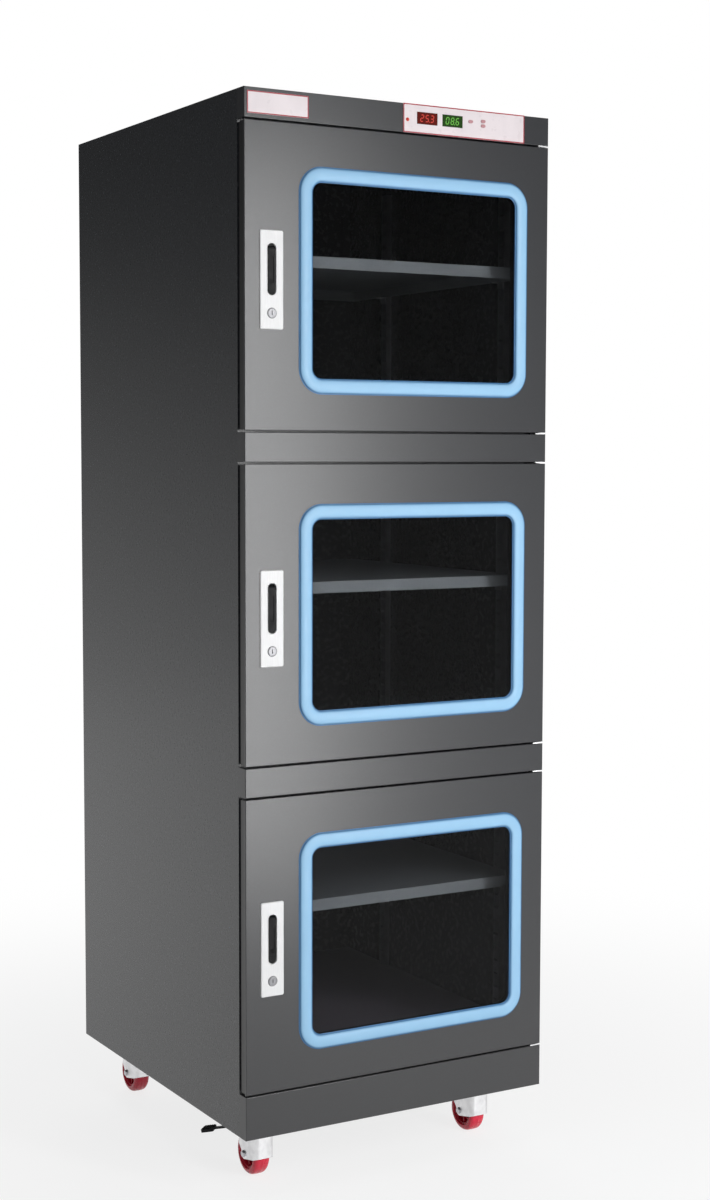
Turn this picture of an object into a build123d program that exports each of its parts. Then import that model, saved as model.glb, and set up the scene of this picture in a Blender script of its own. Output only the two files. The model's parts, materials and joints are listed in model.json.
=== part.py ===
"""A tall drying cabinet of folded sheet steel with three windowed doors, on four swivel casters.

Millimetres. The origin is on the floor under the middle of the body. +Z is up, and the doors face -Y.
Every sub-part is a function that returns its solid, or a list of like solids.
"""

from build123d import *
from math import hypot
import os

# Body
WIDTH = 600.0
DEPTH = 700.0
SHEET = 1.5
FOLD_R = 1.2
STILE = 30.0
REAR_FLANGE = 20.0
PANEL_FLANGE = 20.0
ACCESS_HOLE_R = 8.0

# Front, from the floor up
CASTER_H = 107.0
KICK_H = 74.0
DOOR_H = 499.5
RAIL_H = 49.0
FASCIA_H = 48.5
DOOR_GAP = 3.0
DOORS = 3
FRONT_DEPTH = 25.0
SEAL_FLANGE = 25.0

# Doors
DOOR_SHEET = 1.5
DOOR_RETURN = 4.0
PAN_SHEET = 1.2
PAN_FIT = 0.1
SEAL_T = 4.7
SEAL_W = 14.0
SEAL_GAP = 0.3
SEAL_INSET = 2.0
SEAL_CORNER_R = 4.0
HINGE_INSET = 9.0
HINGE_SETBACK = 9.0
HINGE_TO_SEAL = 6.0
HINGE_PIN_R = 3.0
HINGE_PIN_REACH = 9.0
HINGE_BOSS_WALL = 3.5
HINGE_BOSS_L = 8.0
HINGE_PLATE_T = 2.0
HINGE_PLATE_X = 21.0
HINGE_PLATE_Y = 17.0
HINGE_PLATE_PROUD = 0.5
RUN_FIT = 0.05

# Window
RING_LEFT = 100.0
RING_RIGHT = 44.0
RING_DROP = 66.5
RING_BELOW = 60.0
RING_R = 43.0
RING_BAND = 26.0
RING_PROUD = 5.0
RING_ROUND = 4.0
RING_BITE = 10.5
RING_WEB = 5.0
RING_FIT = 0.1
LIP_T = 2.5
LIP_INSET = 2.0
GLASS_T = 4.0
COLLAR_INSET = 22.0

# Handle
HANDLE_IN = 49.0
HANDLE_W = 43.0
HANDLE_H = 160.0
HANDLE_DROP = 175.0
HANDLE_T = 2.5
HANDLE_R = 3.0
HANDLE_EDGE = 1.2
SLOT_W = 16.0
SLOT_H = 84.0
SLOT_DROP = 21.0
POCKET_W = 20.0
POCKET_MARGIN = 2.5
POCKET_WALL = 1.5
POCKET_DEPTH = 14.0
POCKET_FIT = 0.3
LEVER_CLEAR = 1.5
LEVER_SUNK = 1.0
LEVER_T = 5.0
LEVER_PIVOT_R = 6.5
LEVER_PIVOT_LOW = 2.0
TRUNNION_R = 2.5
DISH_W = 8.0
DISH_H = 46.0
DISH_DEEP = 1.2

# Lock
LOCK_DROP = 134.0
LOCK_R = 6.0
LOCK_HEAD_R = 7.2
LOCK_HEAD_T = 1.0
LOCK_HEAD_GAP = 0.1
LOCK_TUBE_WALL = 3.0
LOCK_HOLE_FIT = 1.5
KEYWAY_W = 1.4
KEYWAY_H = 7.0
KEYWAY_DEEP = 3.0
TONGUE_GAP = 1.5
TONGUE_T = 2.0
TONGUE_W = 12.0
TONGUE_L = 34.0
TONGUE_R = 4.0
LOCK_NUT_R = 6.5
LOCK_NUT_T = 4.0

# Shelves
UPRIGHT_W = 20.0
UPRIGHT_D = 12.0
UPRIGHT_T = 1.2
UPRIGHT_FRONT = 125.0
UPRIGHT_REAR = 160.0
UPRIGHT_TOP_GAP = 75.0
SLOT_PITCH = 25.0
SLOT_FIRST = 30.0
UPRIGHT_SLOT_W = 13.0
UPRIGHT_SLOT_H = 4.0
SHELF_UP = 272.0
SHELF_T = 1.2
SHELF_EDGE = 20.0
SHELF_FRONT = 60.0
SHELF_BACK = 40.0
SHELF_SIDE_GAP = 1.0
SHELF_R = 1.0
CLIP_T = 2.0
CLIP_W = 18.0
CLIP_REACH = 14.0
CLIP_LEG = 12.0
CLIP_TAB_H = 3.0
CLIP_TAB_W = 12.0
CLIP_TAB_REACH = 4.0

# Fascia fittings
BEZEL_IN = 53.0
BEZEL_W = 247.7
BEZEL_T = 1.8
BEZEL_R = 1.5
LABEL_IN = 5.0
LABEL_W = 113.0
LABEL_H = 36.0
LABEL_DROP = 6.0
LABEL_T = 1.0
LABEL_R = 1.0
DISPLAYS_ALONG = (47.7, 98.7)
DISPLAY_W = 41.0
DISPLAY_H = 20.0
DISPLAY_DROP = 22.5
DISPLAY_FIT = 0.2
DISPLAY_SUNK = 0.4
CUTOUT_ALONG = 2.7
CUTOUT_W = 176.0
CUTOUT_H = 28.0
BOARD_ALONG = 0.7
BOARD_W = 182.0
BOARD_H = 32.0
BOARD_T = 1.6
BOARD_SET = 13.0
LED_ALONG = 8.4
LED_DROP = 27.0
LED_R = 2.5
LED_FIT = 0.1
SET_BUTTON = (135.4, 20.0)
UP_BUTTON = (161.2, 17.6)
DOWN_BUTTON = (161.2, 25.4)
BUTTON_W = 9.0
BUTTON_H = 5.0
BUTTON_FIT = 0.3
BUTTON_PROUD = 1.2
BUTTON_TRAVEL = 0.8
BUTTON_SPARE = 0.2
BUTTON_FLANGE = 0.9
BUTTON_FLANGE_T = 1.0
BUTTON_FLANGE_GAP = 0.1
SWITCH_T = 3.0
SWITCH_W = 6.0
SWITCH_H = 4.6
SENSOR_ALONG = 110.7
SENSOR_R = 9.0
SENSOR_L = 18.0
SENSOR_FIT = 0.3
SENSOR_SLOT_W = 2.0
SENSOR_SLOTS = 4

# Dry unit on the inside of the back panel
DRY_W = 230.0
DRY_H = 164.0
DRY_D = 60.0
DRY_WALL = 2.0
DRY_R = 4.0
DRY_DIVIDER_X = 10.0
VENT_H = 3.5
VENT_PITCH = 11.0
VENTS = 9
VENT_W = 78.0
CARTRIDGE_GAP = 4.0
CARTRIDGE_D = 40.0
FLUTE_W = 3.0
FLUTE_DEEP = 3.0
FLUTES = 9
FAN_R = 36.0
FAN_UP = 14.0
FAN_T = 13.0
FAN_HUB_R = 13.0
FAN_BLADES = 7
FAN_BLADE_T = 1.6
FAN_PITCH = 32.0
FAN_FRONT_GAP = 6.0
FAN_SHAFT_R = 2.5
FAN_SHAFT_L = 18.0
FAN_MOTOR_GAP = 3.0
MOTOR_R = 14.0
MOTOR_L = 16.0
MOTOR_ARM_W = 12.0
FLAP_LOW = 50.0
FLAP_BACK = 24.0
FLAP_LEN = 25.0
FLAP_T = 1.5
FLAP_SIDE_GAP = 1.0
FLAP_SHAFT_R = 1.6
FLAP_REST = 40.0

# Power inlet and earth stud in the back panel
INLET_IN = 100.0
INLET_UP = 48.0
INLET_FLANGE_W = 50.0
INLET_FLANGE_H = 26.0
INLET_FLANGE_T = 2.0
INLET_BODY_W = 30.0
INLET_BODY_H = 22.0
INLET_BODY_D = 20.0
INLET_FIT = 0.2
INLET_MOUTH_W = 24.6
INLET_MOUTH_H = 16.6
INLET_MOUTH_D = 16.0
INLET_PIN_W = 2.0
INLET_PIN_H = 4.0
INLET_PIN_L = 10.0
INLET_PIN_X = 7.0
INLET_PIN_Z = 2.0
INLET_R = 2.5
STUD_AWAY = 50.0
STUD_R = 3.0
STUD_OUT = 10.0
STUD_IN = 8.0
STUD_WASHER_R = 8.0
STUD_WASHER_T = 1.5
STUD_NUT_R = 6.0
STUD_FIT = 0.1

# Casters
CASTER_IN_X = 76.0
CASTER_IN_Y = 95.0
CASTER_PLATE = 75.0
CASTER_PLATE_T = 3.0
CASTER_PLATE_R = 6.0
CASTER_BOLT_R = 3.2
CASTER_BOLT_INSET = 10.0
RACE_R = 21.0
RACE_H = 5.0
RACE_GAP = 0.3
KING_R = 5.0
KING_HEAD_R = 8.0
KING_HEAD_T = 3.0
CROWN_R = 24.0
CROWN_T = 5.0
FORK_SHEET = 2.0
FORK_INNER = 34.0
FORK_FRONT = 16.0
FORK_LOW = 10.5
FORK_BEHIND = 19.0
FORK_CORNER_R = 5.0
TRAIL = 27.0
WHEEL_R = 37.5
WHEEL_W = 30.0
TYRE_T = 11.0
TYRE_ROUND = 7.0
TYRE_FIT = 0.02
HUB_W = 24.0
HUB_BOSS_R = 9.0
HUB_RIM = 4.0
HUB_DISH = 5.0
AXLE_R = 4.0
AXLE_FIT = 0.02
AXLE_HEAD_R = 6.5
AXLE_HEAD_T = 2.5

# Brake pedals of the front casters
BRAKE_Y = 20.0
BRAKE_DOWN = 22.0
BRAKE_PIN_R = 2.5
PEDAL_T = 3.0
PEDAL_W = 28.0
PEDAL_BEND_Y = 46.0
PEDAL_BEND_DROP = 4.0
PEDAL_TIP_X = -52.0
PEDAL_TIP_Y = 98.0
PEDAL_TIP_DROP = 19.0
PEDAL_PAD_W = 23.0
PEDAL_START = 8.0
SHOE_Y = 30.0
SHOE_L = 10.0
SHOE_W = 22.0
SHOE_LIFT = 3.6

# Places that follow from the sizes above
HALF_W = WIDTH / 2
FRONT = -DEPTH / 2
BACK = DEPTH / 2
STILE_Y = FRONT + FRONT_DEPTH
INSIDE_X = HALF_W - SHEET
BASE_Z = CASTER_H
KICK_TOP = BASE_Z + KICK_H
DOOR_STEP = DOOR_H + 2 * DOOR_GAP + RAIL_H
TOP_DOOR_TOP = KICK_TOP + DOOR_GAP + (DOORS - 1) * DOOR_STEP + DOOR_H
FASCIA_LOW = TOP_DOOR_TOP + DOOR_GAP
TOP_Z = FASCIA_LOW + FASCIA_H
FLOOR_Z = KICK_TOP + SEAL_FLANGE
PAN_BACK = STILE_Y - SEAL_GAP - SEAL_T
RING_W = WIDTH - RING_LEFT - RING_RIGHT
RING_H = DOOR_H - RING_DROP - RING_BELOW
RING_X = (RING_LEFT - RING_RIGHT) / 2
HANDLE_X = HANDLE_IN - HALF_W
HINGE_X = HALF_W - HINGE_INSET
HINGE_Y = FRONT + HINGE_SETBACK
UPRIGHT_FACE = INSIDE_X - UPRIGHT_D
SLOT_BASE = FLOOR_Z + SLOT_FIRST
RAIL_1_MIDDLE = TOP_DOOR_TOP - DOOR_H - DOOR_GAP - RAIL_H / 2
DRY_BACK = BACK - SHEET
DRY_FRONT = DRY_BACK - DRY_D
FAN_X = (DRY_DIVIDER_X + DRY_WALL / 2 + DRY_W / 2 - DRY_WALL) / 2
FAN_Z = RAIL_1_MIDDLE + FAN_UP
FAN_Y = DRY_FRONT + DRY_WALL + FAN_FRONT_GAP
FLAP_Y = DRY_FRONT + FLAP_BACK
FLAP_Z = RAIL_1_MIDDLE - FLAP_LOW
BEZEL_X = HALF_W - BEZEL_IN - BEZEL_W
BEZEL_FRONT = FRONT - BEZEL_T
LABEL_X = LABEL_IN - HALF_W
DISPLAY_XS = [BEZEL_X + along for along in DISPLAYS_ALONG]
CUTOUT_X = BEZEL_X + CUTOUT_ALONG
BOARD_X = BEZEL_X + BOARD_ALONG
LED_X = BEZEL_X + LED_ALONG
SENSOR_X = BEZEL_X + SENSOR_ALONG
BOARD_FRONT = FRONT + BOARD_SET
INLET_X = HALF_W - INLET_IN
CASTER_X = HALF_W - CASTER_IN_X
CASTER_Y = BACK - CASTER_IN_Y
CROWN_TOP = CASTER_H - CASTER_PLATE_T - RACE_H - RACE_GAP
HOOD_TOP = CROWN_TOP - CROWN_T
HOOD_INSIDE = HOOD_TOP - FORK_SHEET
BRAKE_Z = CASTER_H - BRAKE_DOWN


def block(a, b):
    """A box between two opposite corners."""
    low = [min(p, q) for p, q in zip(a, b)]
    high = [max(p, q) for p, q in zip(a, b)]
    middle = [(p + q) / 2 for p, q in zip(low, high)]
    return Pos(*middle) * Box(*[q - p for p, q in zip(low, high)])


def facing(x, y, z):
    """A plane parallel to the front, seen from the front, with its normal towards -Y."""
    return Plane(origin=(x, y, z), x_dir=(1, 0, 0), z_dir=(0, -1, 0))


def upright_plate(x, z, width, height, radius, y_front, y_back):
    """A plate parallel to the front with rounded corners, centred on x and z."""
    outline = facing(x, y_back, z) * RectangleRounded(width, height, radius)
    return extrude(outline, amount=y_back - y_front)


def rod_y(x, z, radius, y_front, y_back):
    """A round bar along Y."""
    return extrude(facing(x, y_back, z) * Circle(radius), amount=y_back - y_front)


def rod_z(x, y, radius, z_low, z_high):
    """A round bar along Z."""
    return extrude(Plane(origin=(x, y, z_low)) * Circle(radius), amount=z_high - z_low)


def rod_x(y, z, radius, x_low, x_high):
    """A round bar along X."""
    outline = Plane(origin=(x_low, y, z), x_dir=(0, 1, 0), z_dir=(1, 0, 0)) * Circle(radius)
    return extrude(outline, amount=x_high - x_low)


def side_profile(points, half_width, radius):
    """A closed outline of (y, z) points with rounded corners, made as wide as twice half_width."""
    face = make_face(Polyline(*points, close=True))
    rounded = fillet(face.vertices(), radius)
    return extrude(Plane.YZ * rounded, amount=half_width, both=True)


def face_edges(solid, axis, first):
    """The edges of the first or last flat face of a solid along an axis."""
    return solid.faces().sort_by(axis)[0 if first else -1].edges()


def door_low(i):
    """The bottom edge of door i, counted from the lowest."""
    return KICK_TOP + DOOR_GAP + i * DOOR_STEP


def door_top(i):
    return door_low(i) + DOOR_H


# Casing
def side_panel(side):
    """One side wall with its front stile and its rear flange."""
    outer = side * HALF_W
    skin = block((outer, STILE_Y, BASE_Z), (side * INSIDE_X, BACK, TOP_Z))
    stile = block((outer, STILE_Y, BASE_Z), (outer - side * STILE, STILE_Y + SHEET, TOP_Z))
    flange = block(
        (outer - side * SHEET, BACK - 2 * SHEET, BASE_Z + SHEET),
        (outer - side * REAR_FLANGE, BACK - SHEET, TOP_Z - SHEET),
    )
    return skin + stile + flange


def level_panel(z, sheet_to, flange_to, front, back):
    """A sheet across the body with a flange down each side wall."""
    sheet = block((-INSIDE_X, front, z), (INSIDE_X, back, sheet_to))
    for side in (-1, 1):
        sheet += block(
            (side * INSIDE_X, front, z),
            (side * (INSIDE_X - SHEET), BACK - 2 * SHEET, flange_to),
        )
    return sheet


def top_panel():
    return level_panel(TOP_Z, TOP_Z - SHEET, TOP_Z - PANEL_FLANGE, STILE_Y + SHEET, BACK - SHEET)


def base_panel():
    panel = level_panel(BASE_Z, BASE_Z + SHEET, BASE_Z + PANEL_FLANGE, STILE_Y + SHEET, BACK - SHEET)
    for x, y in caster_places():
        for dx, dy in caster_bolts():
            panel -= rod_z(x + dx, y + dy, CASTER_BOLT_R, BASE_Z, BASE_Z + SHEET)
    return panel


def chamber_floor():
    return level_panel(FLOOR_Z, FLOOR_Z - SHEET, FLOOR_Z - PANEL_FLANGE, STILE_Y + SHEET, BACK - 2 * SHEET)


def vent_levels(z):
    """The heights of a row of vent slots centred on z."""
    first = z - (VENTS - 1) * VENT_PITCH / 2
    return [first + n * VENT_PITCH for n in range(VENTS)]


def vent_slot(x, z, y_front, y_back):
    """A cutter for one round-ended vent."""
    return extrude(facing(x, y_back, z) * SlotOverall(VENT_W, VENT_H), amount=y_back - y_front)


def back_panel():
    """The rear sheet with its exhaust vents and the holes of the inlet and the earth stud."""
    panel = block((-INSIDE_X, BACK - SHEET, BASE_Z), (INSIDE_X, BACK, TOP_Z))
    for z in vent_levels(RAIL_1_MIDDLE):
        panel -= vent_slot(FAN_X, z, BACK - SHEET, BACK)
    inlet_z = BASE_Z + INLET_UP
    panel -= block(
        (INLET_X - INLET_BODY_W / 2 - INLET_FIT, BACK - SHEET, inlet_z - INLET_BODY_H / 2 - INLET_FIT),
        (INLET_X + INLET_BODY_W / 2 + INLET_FIT, BACK, inlet_z + INLET_BODY_H / 2 + INLET_FIT),
    )
    panel -= rod_y(INLET_X - STUD_AWAY, inlet_z, STUD_R + STUD_FIT, BACK - SHEET, BACK)
    return panel


def front_box(low, high, plate_low, plate_high):
    """A folded box across the front, welded to the plate behind it that the door seals land on."""
    shell = block((-HALF_W, FRONT, low), (HALF_W, STILE_Y, high))
    shell = fillet(face_edges(shell, Axis.Y, True), FOLD_R)
    shell -= block((-INSIDE_X, FRONT + SHEET, low + SHEET), (INSIDE_X, STILE_Y, high - SHEET))
    half = HALF_W - STILE
    return shell + block((-half, STILE_Y, plate_low), (half, STILE_Y + SHEET, plate_high))


def with_access_hole(box, z):
    return box - rod_y(0, z, ACCESS_HOLE_R, STILE_Y, STILE_Y + SHEET)


def middle_rails():
    rails = []
    for i in range(DOORS - 1):
        low = door_top(i) + DOOR_GAP
        high = low + RAIL_H
        box = front_box(low, high, low - SEAL_FLANGE, high + SEAL_FLANGE)
        rails.append(with_access_hole(box, (low + high) / 2))
    return rails


def kick_plate():
    return with_access_hole(front_box(BASE_Z, KICK_TOP, BASE_Z, FLOOR_Z), (BASE_Z + KICK_TOP) / 2)


def display_z(drop):
    """A height on the fascia, given as a drop from its top edge."""
    return TOP_Z - drop


def fascia():
    """The top front box, with the cut-out behind the display panel and the sensor's hole."""
    box = front_box(FASCIA_LOW, TOP_Z, FASCIA_LOW - SEAL_FLANGE, TOP_Z)
    z = display_z(DISPLAY_DROP)
    box -= block(
        (CUTOUT_X, FRONT, z - CUTOUT_H / 2),
        (CUTOUT_X + CUTOUT_W, FRONT + SHEET, z + CUTOUT_H / 2),
    )
    return box - rod_y(SENSOR_X, z, SENSOR_R + SENSOR_FIT, STILE_Y, STILE_Y + SHEET)


# Hinges
def hinge_brackets():
    """Six plates riveted in the gaps above and below the doors, each with its pin."""
    brackets = []
    for i in range(DOORS):
        for edge, away in ((door_top(i), 1), (door_low(i), -1)):
            seat = edge + away * DOOR_GAP
            face = seat - away * HINGE_PLATE_T
            plate = block(
                (HALF_W + HINGE_PLATE_PROUD, HINGE_Y - HINGE_PLATE_Y / 2, seat),
                (HALF_W - HINGE_PLATE_X, HINGE_Y + HINGE_PLATE_Y / 2, face),
            )
            end = edge - away * HINGE_PIN_REACH
            pin = rod_z(HINGE_X, HINGE_Y, HINGE_PIN_R, min(face, end), max(face, end))
            brackets.append(plate + pin)
    return brackets


# Doors
def ring_outline(inset):
    """Width, height and corner radius of the window ring's outline, moved inwards by inset."""
    return RING_W - 2 * inset, RING_H - 2 * inset, RING_R - inset


def ring_plate(top, inset, y_front, y_back):
    width, height, radius = ring_outline(inset)
    z = top - RING_DROP - RING_H / 2
    return upright_plate(RING_X, z, width, height, radius, y_front, y_back)


def ring(top, outer, inner, y_front, y_back):
    return ring_plate(top, outer, y_front, y_back) - ring_plate(top, inner, y_front, y_back)


def pocket_block(top, grow, y_front, y_back):
    """The block of the handle's pocket, grown sideways by grow."""
    z = top - HANDLE_DROP - SLOT_DROP - SLOT_H / 2
    half_w = POCKET_W / 2 + grow
    half_h = SLOT_H / 2 + POCKET_MARGIN + grow
    return block((HANDLE_X - half_w, y_front, z - half_h), (HANDLE_X + half_w, y_back, z + half_h))


def lock_z(top):
    return top - HANDLE_DROP - LOCK_DROP


def door_skin(i):
    """The painted front of a door: a flat sheet with a short return all round."""
    low, top = door_low(i), door_top(i)
    skin = block((-HALF_W, FRONT, low), (HALF_W, FRONT + DOOR_RETURN, top))
    skin = fillet(face_edges(skin, Axis.Y, True), FOLD_R)
    skin -= block(
        (-HALF_W + DOOR_SHEET, FRONT + DOOR_SHEET, low + DOOR_SHEET),
        (HALF_W - DOOR_SHEET, FRONT + DOOR_RETURN, top - DOOR_SHEET),
    )
    skin -= ring_plate(top, RING_BITE, FRONT, FRONT + DOOR_SHEET)
    skin -= pocket_block(top, POCKET_WALL + POCKET_FIT, FRONT, FRONT + DOOR_SHEET)
    tube_r = LOCK_R + LOCK_TUBE_WALL + POCKET_FIT
    return skin - rod_y(HANDLE_X, lock_z(top), tube_r, FRONT, FRONT + DOOR_SHEET)


def door_pan(i):
    """The black inner tray that nests in the skin, with a collar round the window."""
    low, top = door_low(i), door_top(i)
    inset = DOOR_SHEET + PAN_FIT
    front = FRONT + DOOR_SHEET
    pan = block((-HALF_W + inset, front, low + inset), (HALF_W - inset, PAN_BACK, top - inset))
    wall = inset + PAN_SHEET
    pan -= block(
        (-HALF_W + wall, front, low + wall),
        (HALF_W - wall, PAN_BACK - PAN_SHEET, top - wall),
    )
    pan += ring_plate(top, COLLAR_INSET - PAN_SHEET, FRONT + GLASS_T + LIP_T, PAN_BACK)
    pan -= ring_plate(top, COLLAR_INSET, front, PAN_BACK)
    boss_r = HINGE_PIN_R + HINGE_BOSS_WALL
    for end, inner in ((low + inset, 1), (top - inset, -1)):
        reach = end + inner * (PAN_SHEET + HINGE_BOSS_L)
        pan += rod_z(HINGE_X, HINGE_Y, boss_r, min(end, reach), max(end, reach))
        pan -= rod_z(HINGE_X, HINGE_Y, HINGE_PIN_R + RUN_FIT, min(end, reach), max(end, reach))
    return pan - rod_y(HANDLE_X, lock_z(top), LOCK_R + LOCK_HOLE_FIT, PAN_BACK - PAN_SHEET, PAN_BACK)


def door_glass(i):
    return ring_plate(door_top(i), RING_BITE + RING_WEB, FRONT, FRONT + GLASS_T)


def window_trim(i):
    """A rubber section: a crowned lip in front, a web through the skin, and a lip behind the glass."""
    top = door_top(i)
    lip = ring(top, 0, RING_BAND, FRONT - RING_PROUD, FRONT)
    lip = fillet(face_edges(lip, Axis.Y, True), RING_ROUND)
    web_out = RING_BITE + RING_FIT
    web_in = RING_BITE + RING_WEB - RING_FIT
    web = ring(top, web_out, web_in, FRONT, FRONT + GLASS_T)
    behind_skin = ring(top, LIP_INSET, web_in, FRONT + DOOR_SHEET, FRONT + GLASS_T + LIP_T)
    behind_glass = ring(top, web_out, RING_BAND - LIP_INSET, FRONT + GLASS_T, FRONT + GLASS_T + LIP_T)
    return lip + web + behind_skin + behind_glass


def door_seal(i):
    """The magnetic seal on the tray's back, clear of the hinge's sweep."""
    low, high = door_low(i) + SEAL_INSET, door_top(i) - SEAL_INSET
    left, right = -HALF_W + SEAL_INSET, HINGE_X - HINGE_TO_SEAL
    x, z = (left + right) / 2, (low + high) / 2
    y_back = PAN_BACK + SEAL_T
    outer = upright_plate(x, z, right - left, high - low, SEAL_CORNER_R, PAN_BACK, y_back)
    return outer - upright_plate(
        x, z, right - left - 2 * SEAL_W, high - low - 2 * SEAL_W, SEAL_CORNER_R, PAN_BACK, y_back
    )


def handle_plate(i):
    """The bright plate with its slot, the pocket behind it and the lock's tube."""
    top = door_top(i)
    z = top - HANDLE_DROP - HANDLE_H / 2
    plate = upright_plate(HANDLE_X, z, HANDLE_W, HANDLE_H, HANDLE_R, FRONT - HANDLE_T, FRONT)
    plate = chamfer(face_edges(plate, Axis.Y, True), HANDLE_EDGE)
    floor = FRONT + POCKET_DEPTH
    plate += pocket_block(top, POCKET_WALL, FRONT, floor + POCKET_WALL)
    plate -= pocket_block(top, 0, FRONT, floor)
    slot_z = top - HANDLE_DROP - SLOT_DROP - SLOT_H / 2
    slot = facing(HANDLE_X, FRONT, slot_z) * Rot(0, 0, 90) * SlotOverall(SLOT_H, SLOT_W)
    plate -= extrude(slot, amount=HANDLE_T)
    reach = POCKET_W / 2 + POCKET_WALL
    plate -= rod_x(lever_y(), lever_z(top), TRUNNION_R + RUN_FIT, HANDLE_X - reach, HANDLE_X + reach)
    centre = lock_z(top)
    plate += rod_y(HANDLE_X, centre, LOCK_R + LOCK_TUBE_WALL, FRONT, PAN_BACK - PAN_SHEET)
    return plate - rod_y(HANDLE_X, centre, LOCK_R + RUN_FIT, FRONT - HANDLE_T, PAN_BACK - PAN_SHEET)


def lever_y():
    """The pull lever's pivot lies behind the plate, so that its barrel stays just under the plate's face."""
    return FRONT - HANDLE_T + LEVER_SUNK + LEVER_PIVOT_R


def lever_z(top):
    return top - HANDLE_DROP - SLOT_DROP - SLOT_W / 2 - LEVER_PIVOT_LOW


def pull_lever(i):
    """A flat pull in the slot, on trunnions in the pocket's walls at its top end."""
    top = door_top(i)
    y, z = lever_y(), lever_z(top)
    width = SLOT_W - 2 * LEVER_CLEAR
    low = top - HANDLE_DROP - SLOT_DROP - SLOT_H + LEVER_CLEAR
    high = z + LEVER_PIVOT_R
    face = FRONT - HANDLE_T + LEVER_SUNK
    bar_z, bar_h = (low + high) / 2, high - low
    outline = facing(HANDLE_X, face + LEVER_T, bar_z) * Rot(0, 0, 90) * SlotOverall(bar_h, width)
    bar = extrude(outline, amount=LEVER_T)
    bar -= block((HANDLE_X - width, face, z), (HANDLE_X + width, face + LEVER_T, high))
    barrel = rod_x(y, z, LEVER_PIVOT_R, HANDLE_X - width / 2, HANDLE_X + width / 2)
    dish = facing(HANDLE_X, face + DISH_DEEP, bar_z) * Rot(0, 0, 90) * SlotOverall(DISH_H, DISH_W)
    reach = POCKET_W / 2 + POCKET_WALL
    trunnions = rod_x(y, z, TRUNNION_R, HANDLE_X - reach, HANDLE_X + reach)
    return bar + barrel + trunnions - extrude(dish, amount=DISH_DEEP)


def lock_cylinder(i):
    """The key plug with the tongue that turns behind the stile."""
    z = lock_z(door_top(i))
    face = FRONT - HANDLE_T - LOCK_HEAD_GAP
    tongue_front = STILE_Y + SHEET + TONGUE_GAP
    plug = rod_y(HANDLE_X, z, LOCK_HEAD_R, face - LOCK_HEAD_T, face)
    plug += rod_y(HANDLE_X, z, LOCK_R, face, tongue_front)
    plug -= block(
        (HANDLE_X - KEYWAY_W / 2, face - LOCK_HEAD_T, z - KEYWAY_H / 2),
        (HANDLE_X + KEYWAY_W / 2, face - LOCK_HEAD_T + KEYWAY_DEEP, z + KEYWAY_H / 2),
    )
    tongue_z = z + (TONGUE_W / 2 - TONGUE_L) / 2
    plug += upright_plate(
        HANDLE_X, tongue_z, TONGUE_W, TONGUE_L + TONGUE_W / 2, TONGUE_R,
        tongue_front, tongue_front + TONGUE_T,
    )
    nut = facing(HANDLE_X, tongue_front + TONGUE_T + LOCK_NUT_T, z) * RegularPolygon(LOCK_NUT_R, 6)
    return plug + extrude(nut, amount=LOCK_NUT_T)


# Shelves
def upright_places():
    """Each upright's side and the Y of its middle."""
    return [(side, y) for side in (-1, 1) for y in (FRONT + UPRIGHT_FRONT, BACK - UPRIGHT_REAR)]


def slot_z(n):
    return SLOT_BASE + n * SLOT_PITCH


def shelf_uprights():
    """Four slotted channels on the side walls."""
    high = TOP_Z - UPRIGHT_TOP_GAP
    count = int((high - SLOT_BASE) / SLOT_PITCH)
    uprights = []
    for side, y in upright_places():
        half = UPRIGHT_W / 2
        channel = block((side * INSIDE_X, y - half, FLOOR_Z), (side * UPRIGHT_FACE, y + half, high))
        channel -= block(
            (side * INSIDE_X, y - half + UPRIGHT_T, FLOOR_Z),
            (side * (UPRIGHT_FACE + UPRIGHT_T), y + half - UPRIGHT_T, high),
        )
        holes = [
            block(
                (side * UPRIGHT_FACE, y - UPRIGHT_SLOT_W / 2, slot_z(n) - UPRIGHT_SLOT_H / 2),
                (side * (UPRIGHT_FACE + UPRIGHT_T), y + UPRIGHT_SLOT_W / 2, slot_z(n) + UPRIGHT_SLOT_H / 2),
            )
            for n in range(count)
        ]
        uprights.append(channel - holes)
    return uprights


def shelf_slots():
    """The slot that each shelf's clips hook into, counted from the lowest, one shelf behind each door."""
    return [round((door_low(i) + SHELF_UP - SLOT_BASE) / SLOT_PITCH) for i in range(DOORS)]


def shelf_clips():
    """Angle clips hooked into the uprights, four under each shelf."""
    clips = []
    for n in shelf_slots():
        seat = clip_top(n)
        for side, y in upright_places():
            half = CLIP_W / 2
            face = side * UPRIGHT_FACE
            clip = block((face, y - half, seat), (face - side * CLIP_REACH, y + half, seat - CLIP_T))
            clip += block((face, y - half, seat), (face - side * CLIP_T, y + half, seat - CLIP_LEG))
            clip += block(
                (face, y - CLIP_TAB_W / 2, slot_z(n) - CLIP_TAB_H / 2),
                (face + side * CLIP_TAB_REACH, y + CLIP_TAB_W / 2, slot_z(n) + CLIP_TAB_H / 2),
            )
            clips.append(clip)
    return clips


def clip_top(n):
    """A clip's tab sits in the middle of its leg."""
    return slot_z(n) + CLIP_LEG / 2


def shelves():
    """Three folded trays, open underneath, that rest on the clips."""
    made = []
    half = UPRIGHT_FACE - SHELF_SIDE_GAP
    front, back = FRONT + SHELF_FRONT, BACK - SHELF_BACK
    for n in shelf_slots():
        low = clip_top(n)
        top = low + SHELF_EDGE
        shelf = block((-half, front, low), (half, back, top))
        shelf = fillet(face_edges(shelf, Axis.Z, False), SHELF_R)
        shelf -= block((-half + SHELF_T, front + SHELF_T, low), (half - SHELF_T, back - SHELF_T, top - SHELF_T))
        made.append(shelf)
    return made


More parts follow.
